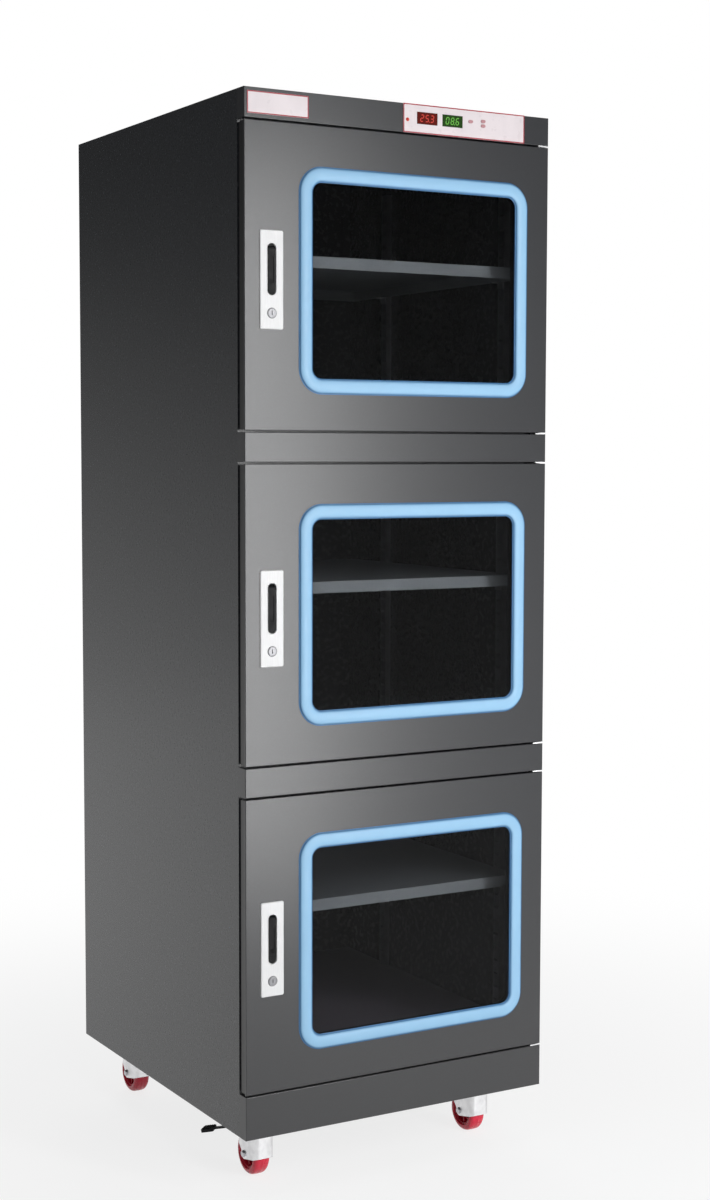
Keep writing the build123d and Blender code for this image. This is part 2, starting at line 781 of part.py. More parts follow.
# Fascia fittings
def label_plate():
    z = TOP_Z - LABEL_DROP - LABEL_H / 2
    return upright_plate(LABEL_X + LABEL_W / 2, z, LABEL_W, LABEL_H, LABEL_R, FRONT - LABEL_T, FRONT)


def button_outline(place, grow, y):
    """An oval on the display panel, grown all round by grow."""
    along, drop = place
    plane = facing(BEZEL_X + along, y, display_z(drop))
    return plane * SlotOverall(BUTTON_W + 2 * grow, BUTTON_H + 2 * grow)


def display_bezel():
    """The pale display panel with its windows, its lamp hole and its button holes."""
    z = TOP_Z - FASCIA_H / 2
    bezel = upright_plate(BEZEL_X + BEZEL_W / 2, z, BEZEL_W, FASCIA_H, BEZEL_R, BEZEL_FRONT, FRONT)
    for x in DISPLAY_XS:
        half_w, half_h = DISPLAY_W / 2 + DISPLAY_FIT, DISPLAY_H / 2 + DISPLAY_FIT
        centre = display_z(DISPLAY_DROP)
        bezel -= block((x - half_w, BEZEL_FRONT, centre - half_h), (x + half_w, FRONT, centre + half_h))
    for place in (SET_BUTTON, UP_BUTTON, DOWN_BUTTON):
        bezel -= extrude(button_outline(place, BUTTON_FIT, FRONT), amount=BEZEL_T)
    return bezel - rod_y(LED_X, display_z(LED_DROP), LED_R + LED_FIT, BEZEL_FRONT, FRONT)


def displays():
    """Two like display modules that stand on the board and fill the panel's windows."""
    z = display_z(DISPLAY_DROP)
    front = BEZEL_FRONT + DISPLAY_SUNK
    return [
        block((x - DISPLAY_W / 2, front, z - DISPLAY_H / 2), (x + DISPLAY_W / 2, BOARD_FRONT, z + DISPLAY_H / 2))
        for x in DISPLAY_XS
    ]


def control_board():
    """The board, its three key switches, its lamp, and the humidity sensor that looks into the chamber."""
    z = display_z(DISPLAY_DROP)
    back = BOARD_FRONT + BOARD_T
    solids = [block((BOARD_X, BOARD_FRONT, z - BOARD_H / 2), (BOARD_X + BOARD_W, back, z + BOARD_H / 2))]
    for along, drop in (SET_BUTTON, UP_BUTTON, DOWN_BUTTON):
        x, at = BEZEL_X + along, display_z(drop)
        solids.append(
            block(
                (x - SWITCH_W / 2, BOARD_FRONT - SWITCH_T, at - SWITCH_H / 2),
                (x + SWITCH_W / 2, BOARD_FRONT, at + SWITCH_H / 2),
            )
        )
    lamp = rod_y(LED_X, display_z(LED_DROP), LED_R, BEZEL_FRONT, BOARD_FRONT)
    solids.append(lamp + Pos(LED_X, BEZEL_FRONT, display_z(LED_DROP)) * Sphere(LED_R))
    sensor = rod_y(SENSOR_X, z, SENSOR_R, back, back + SENSOR_L)
    for n in range(SENSOR_SLOTS):
        at = z + (n - (SENSOR_SLOTS - 1) / 2) * 2 * SENSOR_SLOT_W
        sensor -= block(
            (SENSOR_X - SENSOR_R / 2, STILE_Y + 2 * SHEET, at - SENSOR_SLOT_W / 2),
            (SENSOR_X + SENSOR_R / 2, back + SENSOR_L, at + SENSOR_SLOT_W / 2),
        )
    solids.append(sensor)
    return solids


def button(place):
    """A push button: its cap, the flange that keeps it in, and the stem that meets its switch."""
    cap_front = BEZEL_FRONT - BUTTON_PROUD
    stem_end = BOARD_FRONT - SWITCH_T - BUTTON_TRAVEL - BUTTON_SPARE
    flange_front = FRONT + BUTTON_FLANGE_GAP
    body = extrude(button_outline(place, 0, stem_end), amount=stem_end - cap_front)
    flange_back = flange_front + BUTTON_FLANGE_T
    return body + extrude(button_outline(place, BUTTON_FLANGE, flange_back), amount=BUTTON_FLANGE_T)


# Dry unit
def dry_unit_case():
    """A moulded case, open towards the back panel, with the fan's motor and a divider inside."""
    z = RAIL_1_MIDDLE
    half_w, half_h = DRY_W / 2, DRY_H / 2
    case = block((-half_w, DRY_FRONT, z - half_h), (half_w, DRY_BACK, z + half_h))
    case = fillet(face_edges(case, Axis.Y, True), DRY_R)
    inner_w, inner_h = half_w - DRY_WALL, half_h - DRY_WALL
    case -= block((-inner_w, DRY_FRONT + DRY_WALL, z - inner_h), (inner_w, DRY_BACK, z + inner_h))
    half_wall = DRY_WALL / 2
    case += block(
        (DRY_DIVIDER_X - half_wall, DRY_FRONT + DRY_WALL, z - inner_h),
        (DRY_DIVIDER_X + half_wall, DRY_BACK, z + inner_h),
    )
    left_x = (DRY_DIVIDER_X - half_wall - inner_w) / 2
    for level in vent_levels(z):
        for x in (left_x, FAN_X):
            case -= vent_slot(x, level, DRY_FRONT, DRY_FRONT + DRY_WALL)
    motor_front = FAN_Y + FAN_T + FAN_MOTOR_GAP
    arm_half = MOTOR_ARM_W / 2
    case += block(
        (DRY_DIVIDER_X, motor_front, FAN_Z - arm_half),
        (inner_w, motor_front + DRY_WALL, FAN_Z + arm_half),
    )
    case += rod_y(FAN_X, FAN_Z, MOTOR_R, motor_front, motor_front + MOTOR_L)
    case -= rod_y(FAN_X, FAN_Z, FAN_SHAFT_R + RUN_FIT, motor_front, motor_front + MOTOR_L)
    return case - rod_x(FLAP_Y, FLAP_Z, FLAP_SHAFT_R + RUN_FIT, DRY_DIVIDER_X - half_wall, half_w)


def desiccant_cartridge():
    """A fluted cartridge that stands in the case's left half."""
    low = RAIL_1_MIDDLE - DRY_H / 2 + DRY_WALL
    high = RAIL_1_MIDDLE + DRY_H / 2 - DRY_WALL - CARTRIDGE_GAP
    left = -DRY_W / 2 + DRY_WALL
    right = DRY_DIVIDER_X - DRY_WALL / 2 - CARTRIDGE_GAP
    front = DRY_FRONT + DRY_WALL + CARTRIDGE_GAP
    cartridge = block((left, front, low), (right, front + CARTRIDGE_D, high))
    step = (right - left) / (FLUTES + 1)
    for n in range(FLUTES):
        x = left + (n + 1) * step
        cartridge -= block((x - FLUTE_W / 2, front, low), (x + FLUTE_W / 2, front + FLUTE_DEEP, high))
    return cartridge


def dry_unit_fan():
    """An axial rotor with pitched blades and its shaft."""
    middle = FAN_Y + FAN_T / 2
    rotor = rod_y(FAN_X, FAN_Z, FAN_HUB_R, FAN_Y, FAN_Y + FAN_T)
    reach = FAN_R - FAN_HUB_R / 2
    for n in range(FAN_BLADES):
        turn = Pos(FAN_X, middle, FAN_Z) * Rot(0, 360 * n / FAN_BLADES, 0)
        place = Pos(0, 0, FAN_HUB_R / 2 + reach / 2) * Rot(0, 0, FAN_PITCH)
        rotor += turn * place * Box(FAN_T, FAN_BLADE_T, reach)
    shaft_end = FAN_Y + FAN_T + FAN_SHAFT_L
    return rotor + rod_y(FAN_X, FAN_Z, FAN_SHAFT_R, FAN_Y + FAN_T, shaft_end)


def air_flap():
    """The changeover flap, leaning forward over the chamber's vents, on its cross shaft."""
    left = DRY_DIVIDER_X + DRY_WALL / 2
    right = DRY_W / 2 - DRY_WALL
    plate = block(
        (left + FLAP_SIDE_GAP, -FLAP_T / 2, -FLAP_LEN),
        (right - FLAP_SIDE_GAP, FLAP_T / 2, 0),
    )
    leaning = Pos(0, FLAP_Y, FLAP_Z) * Rot(-FLAP_REST, 0, 0) * plate
    return leaning + rod_x(FLAP_Y, FLAP_Z, FLAP_SHAFT_R, left - DRY_WALL, right + DRY_WALL)


# Power inlet
def power_inlet():
    """The mains inlet with its three pins, and the earth stud beside it."""
    z = BASE_Z + INLET_UP
    outside = BACK + INLET_FLANGE_T
    body = upright_plate(INLET_X, z, INLET_FLANGE_W, INLET_FLANGE_H, INLET_R, BACK, outside)
    body += block(
        (INLET_X - INLET_BODY_W / 2, BACK - INLET_BODY_D, z - INLET_BODY_H / 2),
        (INLET_X + INLET_BODY_W / 2, BACK, z + INLET_BODY_H / 2),
    )
    mouth_floor = outside - INLET_MOUTH_D
    body -= upright_plate(INLET_X, z, INLET_MOUTH_W, INLET_MOUTH_H, INLET_R, mouth_floor, outside)
    for dx, dz in ((-INLET_PIN_X, -INLET_PIN_Z), (0, INLET_PIN_Z), (INLET_PIN_X, -INLET_PIN_Z)):
        x, at = INLET_X + dx, z + dz
        body += block(
            (x - INLET_PIN_W / 2, mouth_floor, at - INLET_PIN_H / 2),
            (x + INLET_PIN_W / 2, mouth_floor + INLET_PIN_L, at + INLET_PIN_H / 2),
        )
    stud_x = INLET_X - STUD_AWAY
    stud = rod_y(stud_x, z, STUD_R, BACK - SHEET - STUD_IN, BACK + STUD_WASHER_T + STUD_OUT)
    stud += rod_y(stud_x, z, STUD_WASHER_R, BACK, BACK + STUD_WASHER_T)
    inner_nut = facing(stud_x, BACK - SHEET, z) * RegularPolygon(STUD_NUT_R, 6)
    return [body, stud + extrude(inner_nut, amount=STUD_IN / 2)]


# Casters
def caster_places():
    return [(x, y) for y in (-CASTER_Y, CASTER_Y) for x in (-CASTER_X, CASTER_X)]


def caster_bolts():
    """The four bolt holes of a caster's plate, from its middle."""
    away = CASTER_PLATE / 2 - CASTER_BOLT_INSET
    return [(dx, dy) for dx in (-away, away) for dy in (-away, away)]


def caster_plates():
    """Four top plates, each with its ball race and the king pin that holds the fork."""
    made = []
    under = CASTER_H - CASTER_PLATE_T
    head_top = HOOD_INSIDE - RACE_GAP
    for x, y in caster_places():
        outline = Plane(origin=(x, y, under)) * RectangleRounded(CASTER_PLATE, CASTER_PLATE, CASTER_PLATE_R)
        plate = extrude(outline, amount=CASTER_PLATE_T)
        plate += rod_z(x, y, RACE_R, under - RACE_H, under)
        plate += rod_z(x, y, KING_R, head_top, under)
        plate += rod_z(x, y, KING_HEAD_R, head_top - KING_HEAD_T, head_top)
        for dx, dy in caster_bolts():
            plate -= rod_z(x + dx, y + dy, CASTER_BOLT_R, under, CASTER_H)
        made.append(plate)
    return made


def fork(x, y, braked):
    """A pressed hood that covers the wheel's front and sides, its crown, and the axle bolt."""
    low = WHEEL_R - FORK_LOW
    behind = TRAIL + FORK_BEHIND
    points = (
        (-FORK_FRONT, HOOD_TOP),
        (-FORK_FRONT, low + FORK_CORNER_R),
        (-FORK_FRONT / 2, low),
        (TRAIL + FORK_LOW / 2, low),
        (behind, WHEEL_R + FORK_LOW),
        (TRAIL + FORK_LOW, HOOD_TOP),
    )
    outer = FORK_INNER / 2 + FORK_SHEET
    hood = side_profile(points, outer, FORK_CORNER_R)
    inner = FORK_INNER / 2
    reach = behind + TRAIL
    hood -= block((-inner, -FORK_FRONT + FORK_SHEET, low - FORK_LOW), (inner, reach, HOOD_INSIDE))
    hood += rod_z(0, 0, CROWN_R, HOOD_TOP, CROWN_TOP)
    hood += rod_z(0, 0, CROWN_R - FORK_CORNER_R, HOOD_INSIDE, HOOD_TOP)
    hood -= rod_z(0, 0, KING_R + RUN_FIT, HOOD_INSIDE, CROWN_TOP)
    hood -= rod_x(TRAIL, WHEEL_R, AXLE_R + AXLE_FIT, -outer, outer)
    if braked:
        hood -= rod_x(BRAKE_Y, BRAKE_Z, BRAKE_PIN_R + RUN_FIT, -outer, outer)
    axle = rod_x(TRAIL, WHEEL_R, AXLE_R, -outer, outer)
    axle += rod_x(TRAIL, WHEEL_R, AXLE_HEAD_R, -outer - AXLE_HEAD_T, -outer)
    axle += rod_x(TRAIL, WHEEL_R, AXLE_HEAD_R, outer, outer + AXLE_HEAD_T)
    return [Pos(x, y, 0) * hood, Pos(x, y, 0) * axle]


def wheel(x, y):
    """The hub and the tyre on it."""
    y += TRAIL
    hub_r = WHEEL_R - TYRE_T
    half = HUB_W / 2
    hub = rod_x(y, WHEEL_R, hub_r, x - half, x + half)
    for side in (-1, 1):
        face = x + side * half
        dished = face - side * HUB_DISH
        a, b = min(face, dished), max(face, dished)
        hub -= rod_x(y, WHEEL_R, hub_r - HUB_RIM, a, b) - rod_x(y, WHEEL_R, HUB_BOSS_R, a, b)
        boss = x + side * WHEEL_W / 2
        hub += rod_x(y, WHEEL_R, HUB_BOSS_R, min(boss, dished), max(boss, dished))
    hub -= rod_x(y, WHEEL_R, AXLE_R + RUN_FIT, x - WHEEL_W, x + WHEEL_W)
    tyre = rod_x(y, WHEEL_R, WHEEL_R, x - WHEEL_W / 2, x + WHEEL_W / 2)
    rims = tyre.edges().filter_by(GeomType.CIRCLE)
    tyre = fillet(rims, TYRE_ROUND)
    tyre -= rod_x(y, WHEEL_R, hub_r + TYRE_FIT, x - WHEEL_W, x + WHEEL_W)
    return [hub, tyre]


def brake_pedal(x, y):
    """A pressed pedal pinned across the fork, bent to one side, with a shoe over the wheel."""
    bend_z = BRAKE_Z - PEDAL_BEND_DROP
    tip_z = BRAKE_Z - PEDAL_TIP_DROP
    far = PEDAL_TIP_Y + PEDAL_PAD_W
    slope = (bend_z - tip_z) / (PEDAL_TIP_Y - PEDAL_BEND_Y)
    end_z = tip_z - slope * PEDAL_PAD_W
    spine = [(PEDAL_START, BRAKE_Z), (BRAKE_Y, BRAKE_Z), (PEDAL_BEND_Y, bend_z), (far, end_z)]
    half = PEDAL_T / 2
    outline = [(a, b + half) for a, b in spine] + [(a, b - half) for a, b in reversed(spine)]
    sheet = extrude(Plane.YZ * make_face(Polyline(*outline, close=True)), amount=far, both=True)
    plan = block((-PEDAL_W / 2, 0, 0), (PEDAL_W / 2, PEDAL_BEND_Y, CASTER_H))
    run = hypot(PEDAL_TIP_X, PEDAL_TIP_Y - PEDAL_BEND_Y)
    over_x, over_y = PEDAL_TIP_X / run, (PEDAL_TIP_Y - PEDAL_BEND_Y) / run
    side = PEDAL_PAD_W / 2
    root = (0, PEDAL_BEND_Y)
    tip = (PEDAL_TIP_X - over_x * side, PEDAL_TIP_Y - over_y * side)
    pad = make_face(
        Polyline(
            (root[0] - over_y * side, root[1] + over_x * side),
            (tip[0] - over_y * side, tip[1] + over_x * side),
            (tip[0] + over_y * side, tip[1] - over_x * side),
            (root[0] + over_y * side, root[1] - over_x * side),
            close=True,
        )
    )
    plan += extrude(pad, amount=CASTER_H)
    plan += rod_z(tip[0], tip[1], side, 0, CASTER_H)
    pedal = sheet & plan
    pedal += rod_x(BRAKE_Y, BRAKE_Z, BRAKE_PIN_R, -FORK_INNER / 2 - FORK_SHEET, FORK_INNER / 2 + FORK_SHEET)
    shoe_low = 2 * WHEEL_R + SHOE_LIFT
    pedal += block((-SHOE_W / 2, SHOE_Y, shoe_low), (SHOE_W / 2, SHOE_Y + SHOE_L, BRAKE_Z - PEDAL_BEND_DROP / 2))
    return Pos(x, y, 0) * pedal


# Every node, by name
def door_nodes(name, i):
    return {
        f"{name}_door_skin": door_skin(i),
        f"{name}_door_pan": door_pan(i),
        f"{name}_door_glass": door_glass(i),
        f"{name}_window_trim": window_trim(i),
        f"{name}_door_seal": door_seal(i),
        f"{name}_handle_plate": handle_plate(i),
        f"{name}_pull_lever": pull_lever(i),
        f"{name}_lock_cylinder": lock_cylinder(i),
    }


def caster_nodes():
    nodes = {}
    names = ("front_left", "front_right", "rear_left", "rear_right")
    for name, (x, y) in zip(names, caster_places()):
        braked = y < 0
        nodes[f"{name}_fork"] = fork(x, y, braked)
        nodes[f"{name}_wheel"] = wheel(x, y)
        if braked:
            nodes[f"{name}_brake_pedal"] = brake_pedal(x, y)
    return nodes


def all_nodes():
    nodes = {
        "left_side_panel": side_panel(-1),
        "right_side_panel": side_panel(1),
        "back_panel": back_panel(),
        "top_panel": top_panel(),
        "base_panel": base_panel(),
        "chamber_floor": chamber_floor(),
        "fascia": fascia(),
        "middle_rails": middle_rails(),
        "kick_plate": kick_plate(),
        "hinge_brackets": hinge_brackets(),
        "shelf_uprights": shelf_uprights(),
        "shelf_clips": shelf_clips(),
        "shelves": shelves(),
        "label_plate": label_plate(),
        "display_bezel": display_bezel(),
        "displays": displays(),
        "control_board": control_board(),
        "set_button": button(SET_BUTTON),
        "up_button": button(UP_BUTTON),
        "down_button": button(DOWN_BUTTON),
        "dry_unit_case": dry_unit_case(),
        "desiccant_cartridge": desiccant_cartridge(),
        "dry_unit_fan": dry_unit_fan(),
        "air_flap": air_flap(),
        "power_inlet": power_inlet(),
        "caster_plates": caster_plates(),
    }
    for i, name in enumerate(("lower", "middle", "upper")[:DOORS]):
        nodes.update(door_nodes(name, i))
    nodes.update(caster_nodes())
    return nodes


def write(name, made):
    solids = made if isinstance(made, list) else [made]
    shape = Compound(children=[s for part in solids for s in part.solids()]) if len(solids) > 1 else made
    export_step(shape, f"parts/{name}.step")


os.makedirs("parts", exist_ok=True)
for node, made in all_nodes().items():
    write(node, made)
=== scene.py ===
"""A tall drying cabinet of dark powder-coated steel, with three windowed doors, on four swivel casters.

Laid out as an add-on and run as a script. Metres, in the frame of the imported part: the origin is on the
floor under the middle of the body, +Z is up, and the doors face -Y with their hinges at +X.
"""

import json
import math
from functools import cache

import bmesh
import bpy
from bpy.props import FloatProperty, FloatVectorProperty, IntProperty, PointerProperty
from bpy.types import NodeSocket, Operator, Panel, PropertyGroup
from mathutils import Matrix, Vector


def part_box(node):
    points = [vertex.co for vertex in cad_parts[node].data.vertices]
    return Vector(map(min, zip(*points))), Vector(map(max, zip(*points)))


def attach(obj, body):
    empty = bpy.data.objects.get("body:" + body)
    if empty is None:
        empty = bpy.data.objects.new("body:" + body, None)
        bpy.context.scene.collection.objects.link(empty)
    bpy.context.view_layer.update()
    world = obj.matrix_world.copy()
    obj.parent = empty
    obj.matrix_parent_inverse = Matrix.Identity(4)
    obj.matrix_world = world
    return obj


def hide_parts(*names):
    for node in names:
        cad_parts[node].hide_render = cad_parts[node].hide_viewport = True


bl_info = {
    "name": "Drying Cabinet",
    "version": (1, 0, 0),
    "blender": (4, 5, 0),
    "location": "3D View > Sidebar > Cabinet",
    "description": "Dresses a drying cabinet: sheet metal, windows, handles, displays, dry unit and casters",
    "category": "Object",
}

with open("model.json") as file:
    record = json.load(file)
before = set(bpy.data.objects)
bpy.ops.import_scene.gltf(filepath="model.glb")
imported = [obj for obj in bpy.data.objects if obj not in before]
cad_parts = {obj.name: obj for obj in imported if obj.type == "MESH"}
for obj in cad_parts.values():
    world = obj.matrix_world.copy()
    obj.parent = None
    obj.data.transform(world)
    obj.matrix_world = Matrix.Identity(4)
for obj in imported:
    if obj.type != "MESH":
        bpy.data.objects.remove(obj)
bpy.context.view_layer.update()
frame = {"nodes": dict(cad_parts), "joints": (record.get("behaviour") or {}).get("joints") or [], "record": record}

MM = 0.001
DOORS = ("lower", "middle", "upper")
CASTERS = ("front_left", "front_right", "rear_left", "rear_right")
SLOT_OF = {part["node"]: part["material_slot"] for part in frame["record"]["subparts"]}


def box_mm(node):
    """A CAD node's lowest and highest corner, in millimetres."""
    low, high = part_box(node)
    return low / MM, high / MM


def span(node):
    """A CAD node's lowest corner, size and middle, in millimetres."""
    low, high = box_mm(node)
    return low, high - low, (low + high) / 2


def joint_place(name):
    """Where a joint's axis stands at rest, as x, y and z in millimetres."""
    joint = next(joint for joint in frame["joints"] if joint["name"] == name)
    return [value / MM for value in joint["pos_m"]]


# Sizes and colours that a user would change


def length(name, description, mm):
    return FloatProperty(name=name, description=description, default=mm * MM, min=0.0, unit="LENGTH")


def whole_number(name, description, number):
    return IntProperty(name=name, description=description, default=number, min=3)


def colour(name, description, rgb):
    limits = {"subtype": "COLOR", "min": 0.0, "max": 1.0}
    return FloatVectorProperty(name=name, description=description, default=rgb, **limits)


class CabinetSizes(PropertyGroup):
    ring_band: length("Window rubber width", "Width of the rubber round each window", 26.0)
    ring_crown: length("Window rubber height", "How far the rubber stands proud of the door", 5.0)
    ring_lip: length("Window rubber lip", "Width of the thin lip along each edge of the rubber", 1.6)
    corner_steps: whole_number("Corner steps", "Segments round a swept corner", 14)
    digit_height: length("Digit height", "Height of the figures in the displays", 12.5)
    digit_stroke: length("Digit stroke", "Width of one bar of a figure", 1.7)
    tyre_depth: length("Tyre depth", "Radial thickness of a caster's tyre", 11.0)
    hub_ribs: whole_number("Hub ribs", "Ribs on each side of a caster's hub", 8)
    screw_head: length("Screw head", "Head diameter of the panel screws", 7.0)


class CabinetColours(PropertyGroup):
    paint: colour("Body paint", "Powder coat of the casing", (0.024, 0.026, 0.030))
    door: colour("Door paint", "Powder coat of the doors and front rails", (0.030, 0.031, 0.034))
    # Painted shade: the door trays are near-black for the dark strip of shade along each door's edge.
    tray: colour("Door tray", "Inner tray of the doors, near-black for painted shade", (0.006, 0.006, 0.007))
    ring: colour("Window rubber", "Rubber round the windows", (0.29, 0.52, 0.74))
    # Painted shade: the deep blue that the window rubber takes down in its lips, near the door skin.
    ring_lip_shade: colour("Window rubber painted shade", "Painted shade down in the lips of the rubber", (0.03, 0.14, 0.32))
    tyre: colour("Tyre", "Polyurethane of the caster tyres", (0.74, 0.014, 0.05))
    shelf: colour("Shelf paint", "Powder coat of the shelves", (0.33, 0.345, 0.36))
    plate: colour("Handle plate", "Satin plated handle plates", (0.80, 0.80, 0.805))
    film: colour("Panel film", "White film of the label and the display panel", (0.76, 0.69, 0.71))
    edge_print: colour("Panel edge", "Red line round the white panels", (0.36, 0.012, 0.03))
    red_digits: colour("Red figures", "Lit figures of the left display", (1.0, 0.06, 0.03))
    green_digits: colour("Green figures", "Lit figures of the right display", (0.25, 0.85, 0.10))


class CabinetSettings(PropertyGroup):
    sizes: PointerProperty(type=CabinetSizes)
    colours: PointerProperty(type=CabinetColours)


def sizes():
    return bpy.context.scene.drying_cabinet.sizes


def colours():
    return bpy.context.scene.drying_cabinet.colours


# Materials


# The colour sockets of a Mix node, which share their names with its other sockets
MIX_FACTOR, MIX_A, MIX_B, MIX_RESULT = 0, 6, 7, 2


def new_node(tree, kind, inputs=None, **settings):
    """A node of a tree with its settings, and inputs that are values or other sockets."""
    node = tree.nodes.new(kind)
    for key, value in settings.items():
        setattr(node, key, value)
    for key, value in (inputs or {}).items():
        if isinstance(value, NodeSocket):
            tree.links.new(value, node.inputs[key])
        else:
            node.inputs[key].default_value = value
    return node


class Finish:
    """A Principled material whose colour, roughness and relief vary with object coordinates."""

    def __init__(self, name, base, roughness, **constants):
        self.material = bpy.data.materials.new(name)
        self.material.use_nodes = True
        self.tree = self.material.node_tree
        self.shader = self.tree.nodes["Principled BSDF"]
        self.base = (*base, 1.0)
        constants.update(Base_Color=self.base, Roughness=roughness)
        for socket, value in constants.items():
            self.shader.inputs[socket.replace("_", " ")].default_value = value
        self.where = self.add("ShaderNodeTexCoord").outputs["Object"]

    def add(self, kind, inputs=None, **settings):
        return new_node(self.tree, kind, inputs, **settings)

    def texture(self, kind, size, stretch, **inputs):
        """A texture with features of a size in metres, stretched along X, Y and Z."""
        scale = [s / size for s in stretch]
        place = self.add("ShaderNodeMapping", {"Vector": self.where, "Scale": scale}).outputs["Vector"]
        return self.add(kind, {"Vector": place, "Scale": 1.0, **inputs}).outputs

    def noise(self, size, detail=2.0, stretch=(1.0, 1.0, 1.0)):
        return self.texture("ShaderNodeTexNoise", size, stretch, Detail=detail)[0]

    def cells(self, size, stretch=(1.0, 1.0, 1.0)):
        """A random grey for each crystal-like cell."""
        colours_of_cells = self.texture("ShaderNodeTexVoronoi", size, stretch)["Color"]
        return self.add("ShaderNodeSeparateColor", {"Color": colours_of_cells}).outputs["Red"]

    def along(self, axis):
        """The object coordinate along X, Y or Z."""
        return self.add("ShaderNodeSeparateXYZ", {"Vector": self.where}).outputs[axis]

    def ramp(self, value, low, high, to_low, to_high):
        """Maps low..high of a value to to_low..to_high, smoothly and clamped."""
        inputs = {"Value": value, "From Min": low, "From Max": high, "To Min": to_low, "To Max": to_high}
        return self.add("ShaderNodeMapRange", inputs, interpolation_type="SMOOTHSTEP").outputs["Result"]

    def drive(self, socket, value):
        self.tree.links.new(value, self.shader.inputs[socket])

    def tint(self, value, none, full, share, rgb):
        """Mixes a share of a second colour into the base where a value goes from none to full."""
        factor = self.ramp(value, none, full, 0.0, share)
        inputs = {MIX_FACTOR: factor, MIX_A: self.base, MIX_B: (*rgb, 1.0)}
        self.base = self.add("ShaderNodeMix", inputs, data_type="RGBA").outputs[MIX_RESULT]
        self.drive("Base Color", self.base)

    def rough(self, value, low, high):
        """Varies the roughness between two values."""
        self.drive("Roughness", self.ramp(value, 0.25, 0.75, low, high))

    def bump(self, height, distance):
        """Adds relief of a depth in metres."""
        inputs = {"Height": height, "Distance": distance, "Strength": 1.0}
        self.drive("Normal", self.add("ShaderNodeBump", inputs).outputs["Normal"])

    def end_with(self, factor, first, second):
        """Ends the material with a mix of two shaders."""
        mix = self.add("ShaderNodeMixShader", {0: factor, 1: first.outputs[0], 2: second.outputs[0]})
        self.tree.links.new(mix.outputs[0], self.tree.nodes["Material Output"].inputs["Surface"])


def shade(rgb, factor):
    return tuple(min(1.0, c * factor) for c in rgb)


def powder_coat(name, rgb, roughness=0.4, shine=0.5):
    """Fine-textured powder coat with a slight orange peel, uneven gloss and a breath of dust low down."""
    finish = Finish(name, rgb, roughness, Specular_IOR_Level=shine)
    finish.tint(finish.noise(0.012), 0.3, 0.75, 0.08, shade(rgb, 1.2))
    finish.tint(finish.noise(0.0016, 1.0), 0.45, 0.75, 0.25, shade(rgb, 1.8))
    finish.tint(finish.along("Z"), 0.6, 0.1, 0.09, (0.20, 0.19, 0.18))
    finish.rough(finish.noise(0.01), roughness - 0.01, roughness + 0.01)
    finish.bump(finish.noise(0.009, 1.0), 0.00002)
    return finish.material


def plated(name, rgb, roughness=0.3, spangle=0.006):
    """Bright zinc: crystal spangle, cloudy gloss and fine rolling marks."""
    finish = Finish(name, rgb, roughness, Metallic=1.0)
    finish.tint(finish.cells(spangle), 0.0, 1.0, 0.3, shade(rgb, 0.8))
    finish.tint(finish.noise(0.02, 3.0), 0.45, 0.75, 0.35, shade(rgb, 0.62))
    finish.rough(finish.noise(0.012), roughness - 0.06, roughness + 0.12)
    finish.bump(finish.noise(0.002, 2.0, (1.0, 1.0, 0.2)), 0.00002)
    return finish.material


def brushed(name, rgb, roughness=0.34, grain=(1.0, 1.0, 0.03), metallic=1.0):
    """Satin metal with a fine grain along one axis."""
    finish = Finish(name, rgb, roughness, Metallic=metallic)
    finish.tint(finish.noise(0.0006, 2.0, grain), 0.35, 0.65, 0.25, shade(rgb, 0.75))
    finish.tint(finish.noise(0.03), 0.5, 0.8, 0.2, shade(rgb, 0.8))
    finish.rough(finish.noise(0.0009, 2.0, grain), roughness - 0.06, roughness + 0.08)
    finish.bump(finish.noise(0.0005, 1.0, grain), 0.00001)
    return finish.material


def moulded(name, rgb, roughness=0.45, texture=0.0008, depth=0.00003, shine=0.5):
    """Moulded plastic with a spark-eroded texture and slight flow marks."""
    finish = Finish(name, rgb, roughness, Specular_IOR_Level=shine)
    finish.tint(finish.noise(0.03, 3.0, (1.0, 1.0, 0.4)), 0.4, 0.75, 0.3, shade(rgb, 0.82))
    finish.rough(finish.noise(0.01), roughness - 0.06, roughness + 0.08)
    finish.bump(finish.noise(texture, 1.0), depth)
    return finish.material


def rubber(name, rgb, roughness=0.5, bloom=0.12, shine=0.4):
    """Extruded rubber with draw marks and a pale bloom in patches."""
    finish = Finish(name, rgb, roughness, Specular_IOR_Level=shine)
    finish.tint(finish.noise(0.035, 3.0), 0.5, 0.8, bloom, shade(rgb, 1.5))
    finish.rough(finish.noise(0.008), roughness - 0.08, roughness + 0.1)
    finish.bump(finish.noise(0.0012, 1.0), 0.00003)
    return finish


def window_rubber():
    """Light-blue glazing rubber, darkened towards the door skin: painted shade down in its thin lips."""
    c = colours()
    finish = rubber("Window rubber", c.ring, 0.42, bloom=0.08)
    skin_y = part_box("upper_door_skin")[0].y
    crown_y, lip_y = skin_y - 0.0042, skin_y - 0.0012
    # Painted shade: the colour runs to a deep blue within about 4 mm of the door skin, in the lips and the foot of
    # the crown.
    finish.tint(finish.along("Y"), crown_y, lip_y, 0.95, c.ring_lip_shade)
    return finish.material


def smoked_glass():
    """Dark tinted glass that lets the lamps reach the shelves, with a trace of wipe marks in its gloss."""
    smoke = (0.42, 0.43, 0.44)
    finish = Finish("Smoked glass", smoke, 0.03, Transmission_Weight=1.0, IOR=1.19)
    finish.rough(finish.noise(0.12, 4.0, (1.0, 1.0, 0.35)), 0.01, 0.03)
    through = finish.add("ShaderNodeBsdfTransparent", {"Color": (*smoke, 1.0)})
    finish.end_with(finish.add("ShaderNodeLightPath").outputs["Is Shadow Ray"], finish.shader, through)
    return finish.material


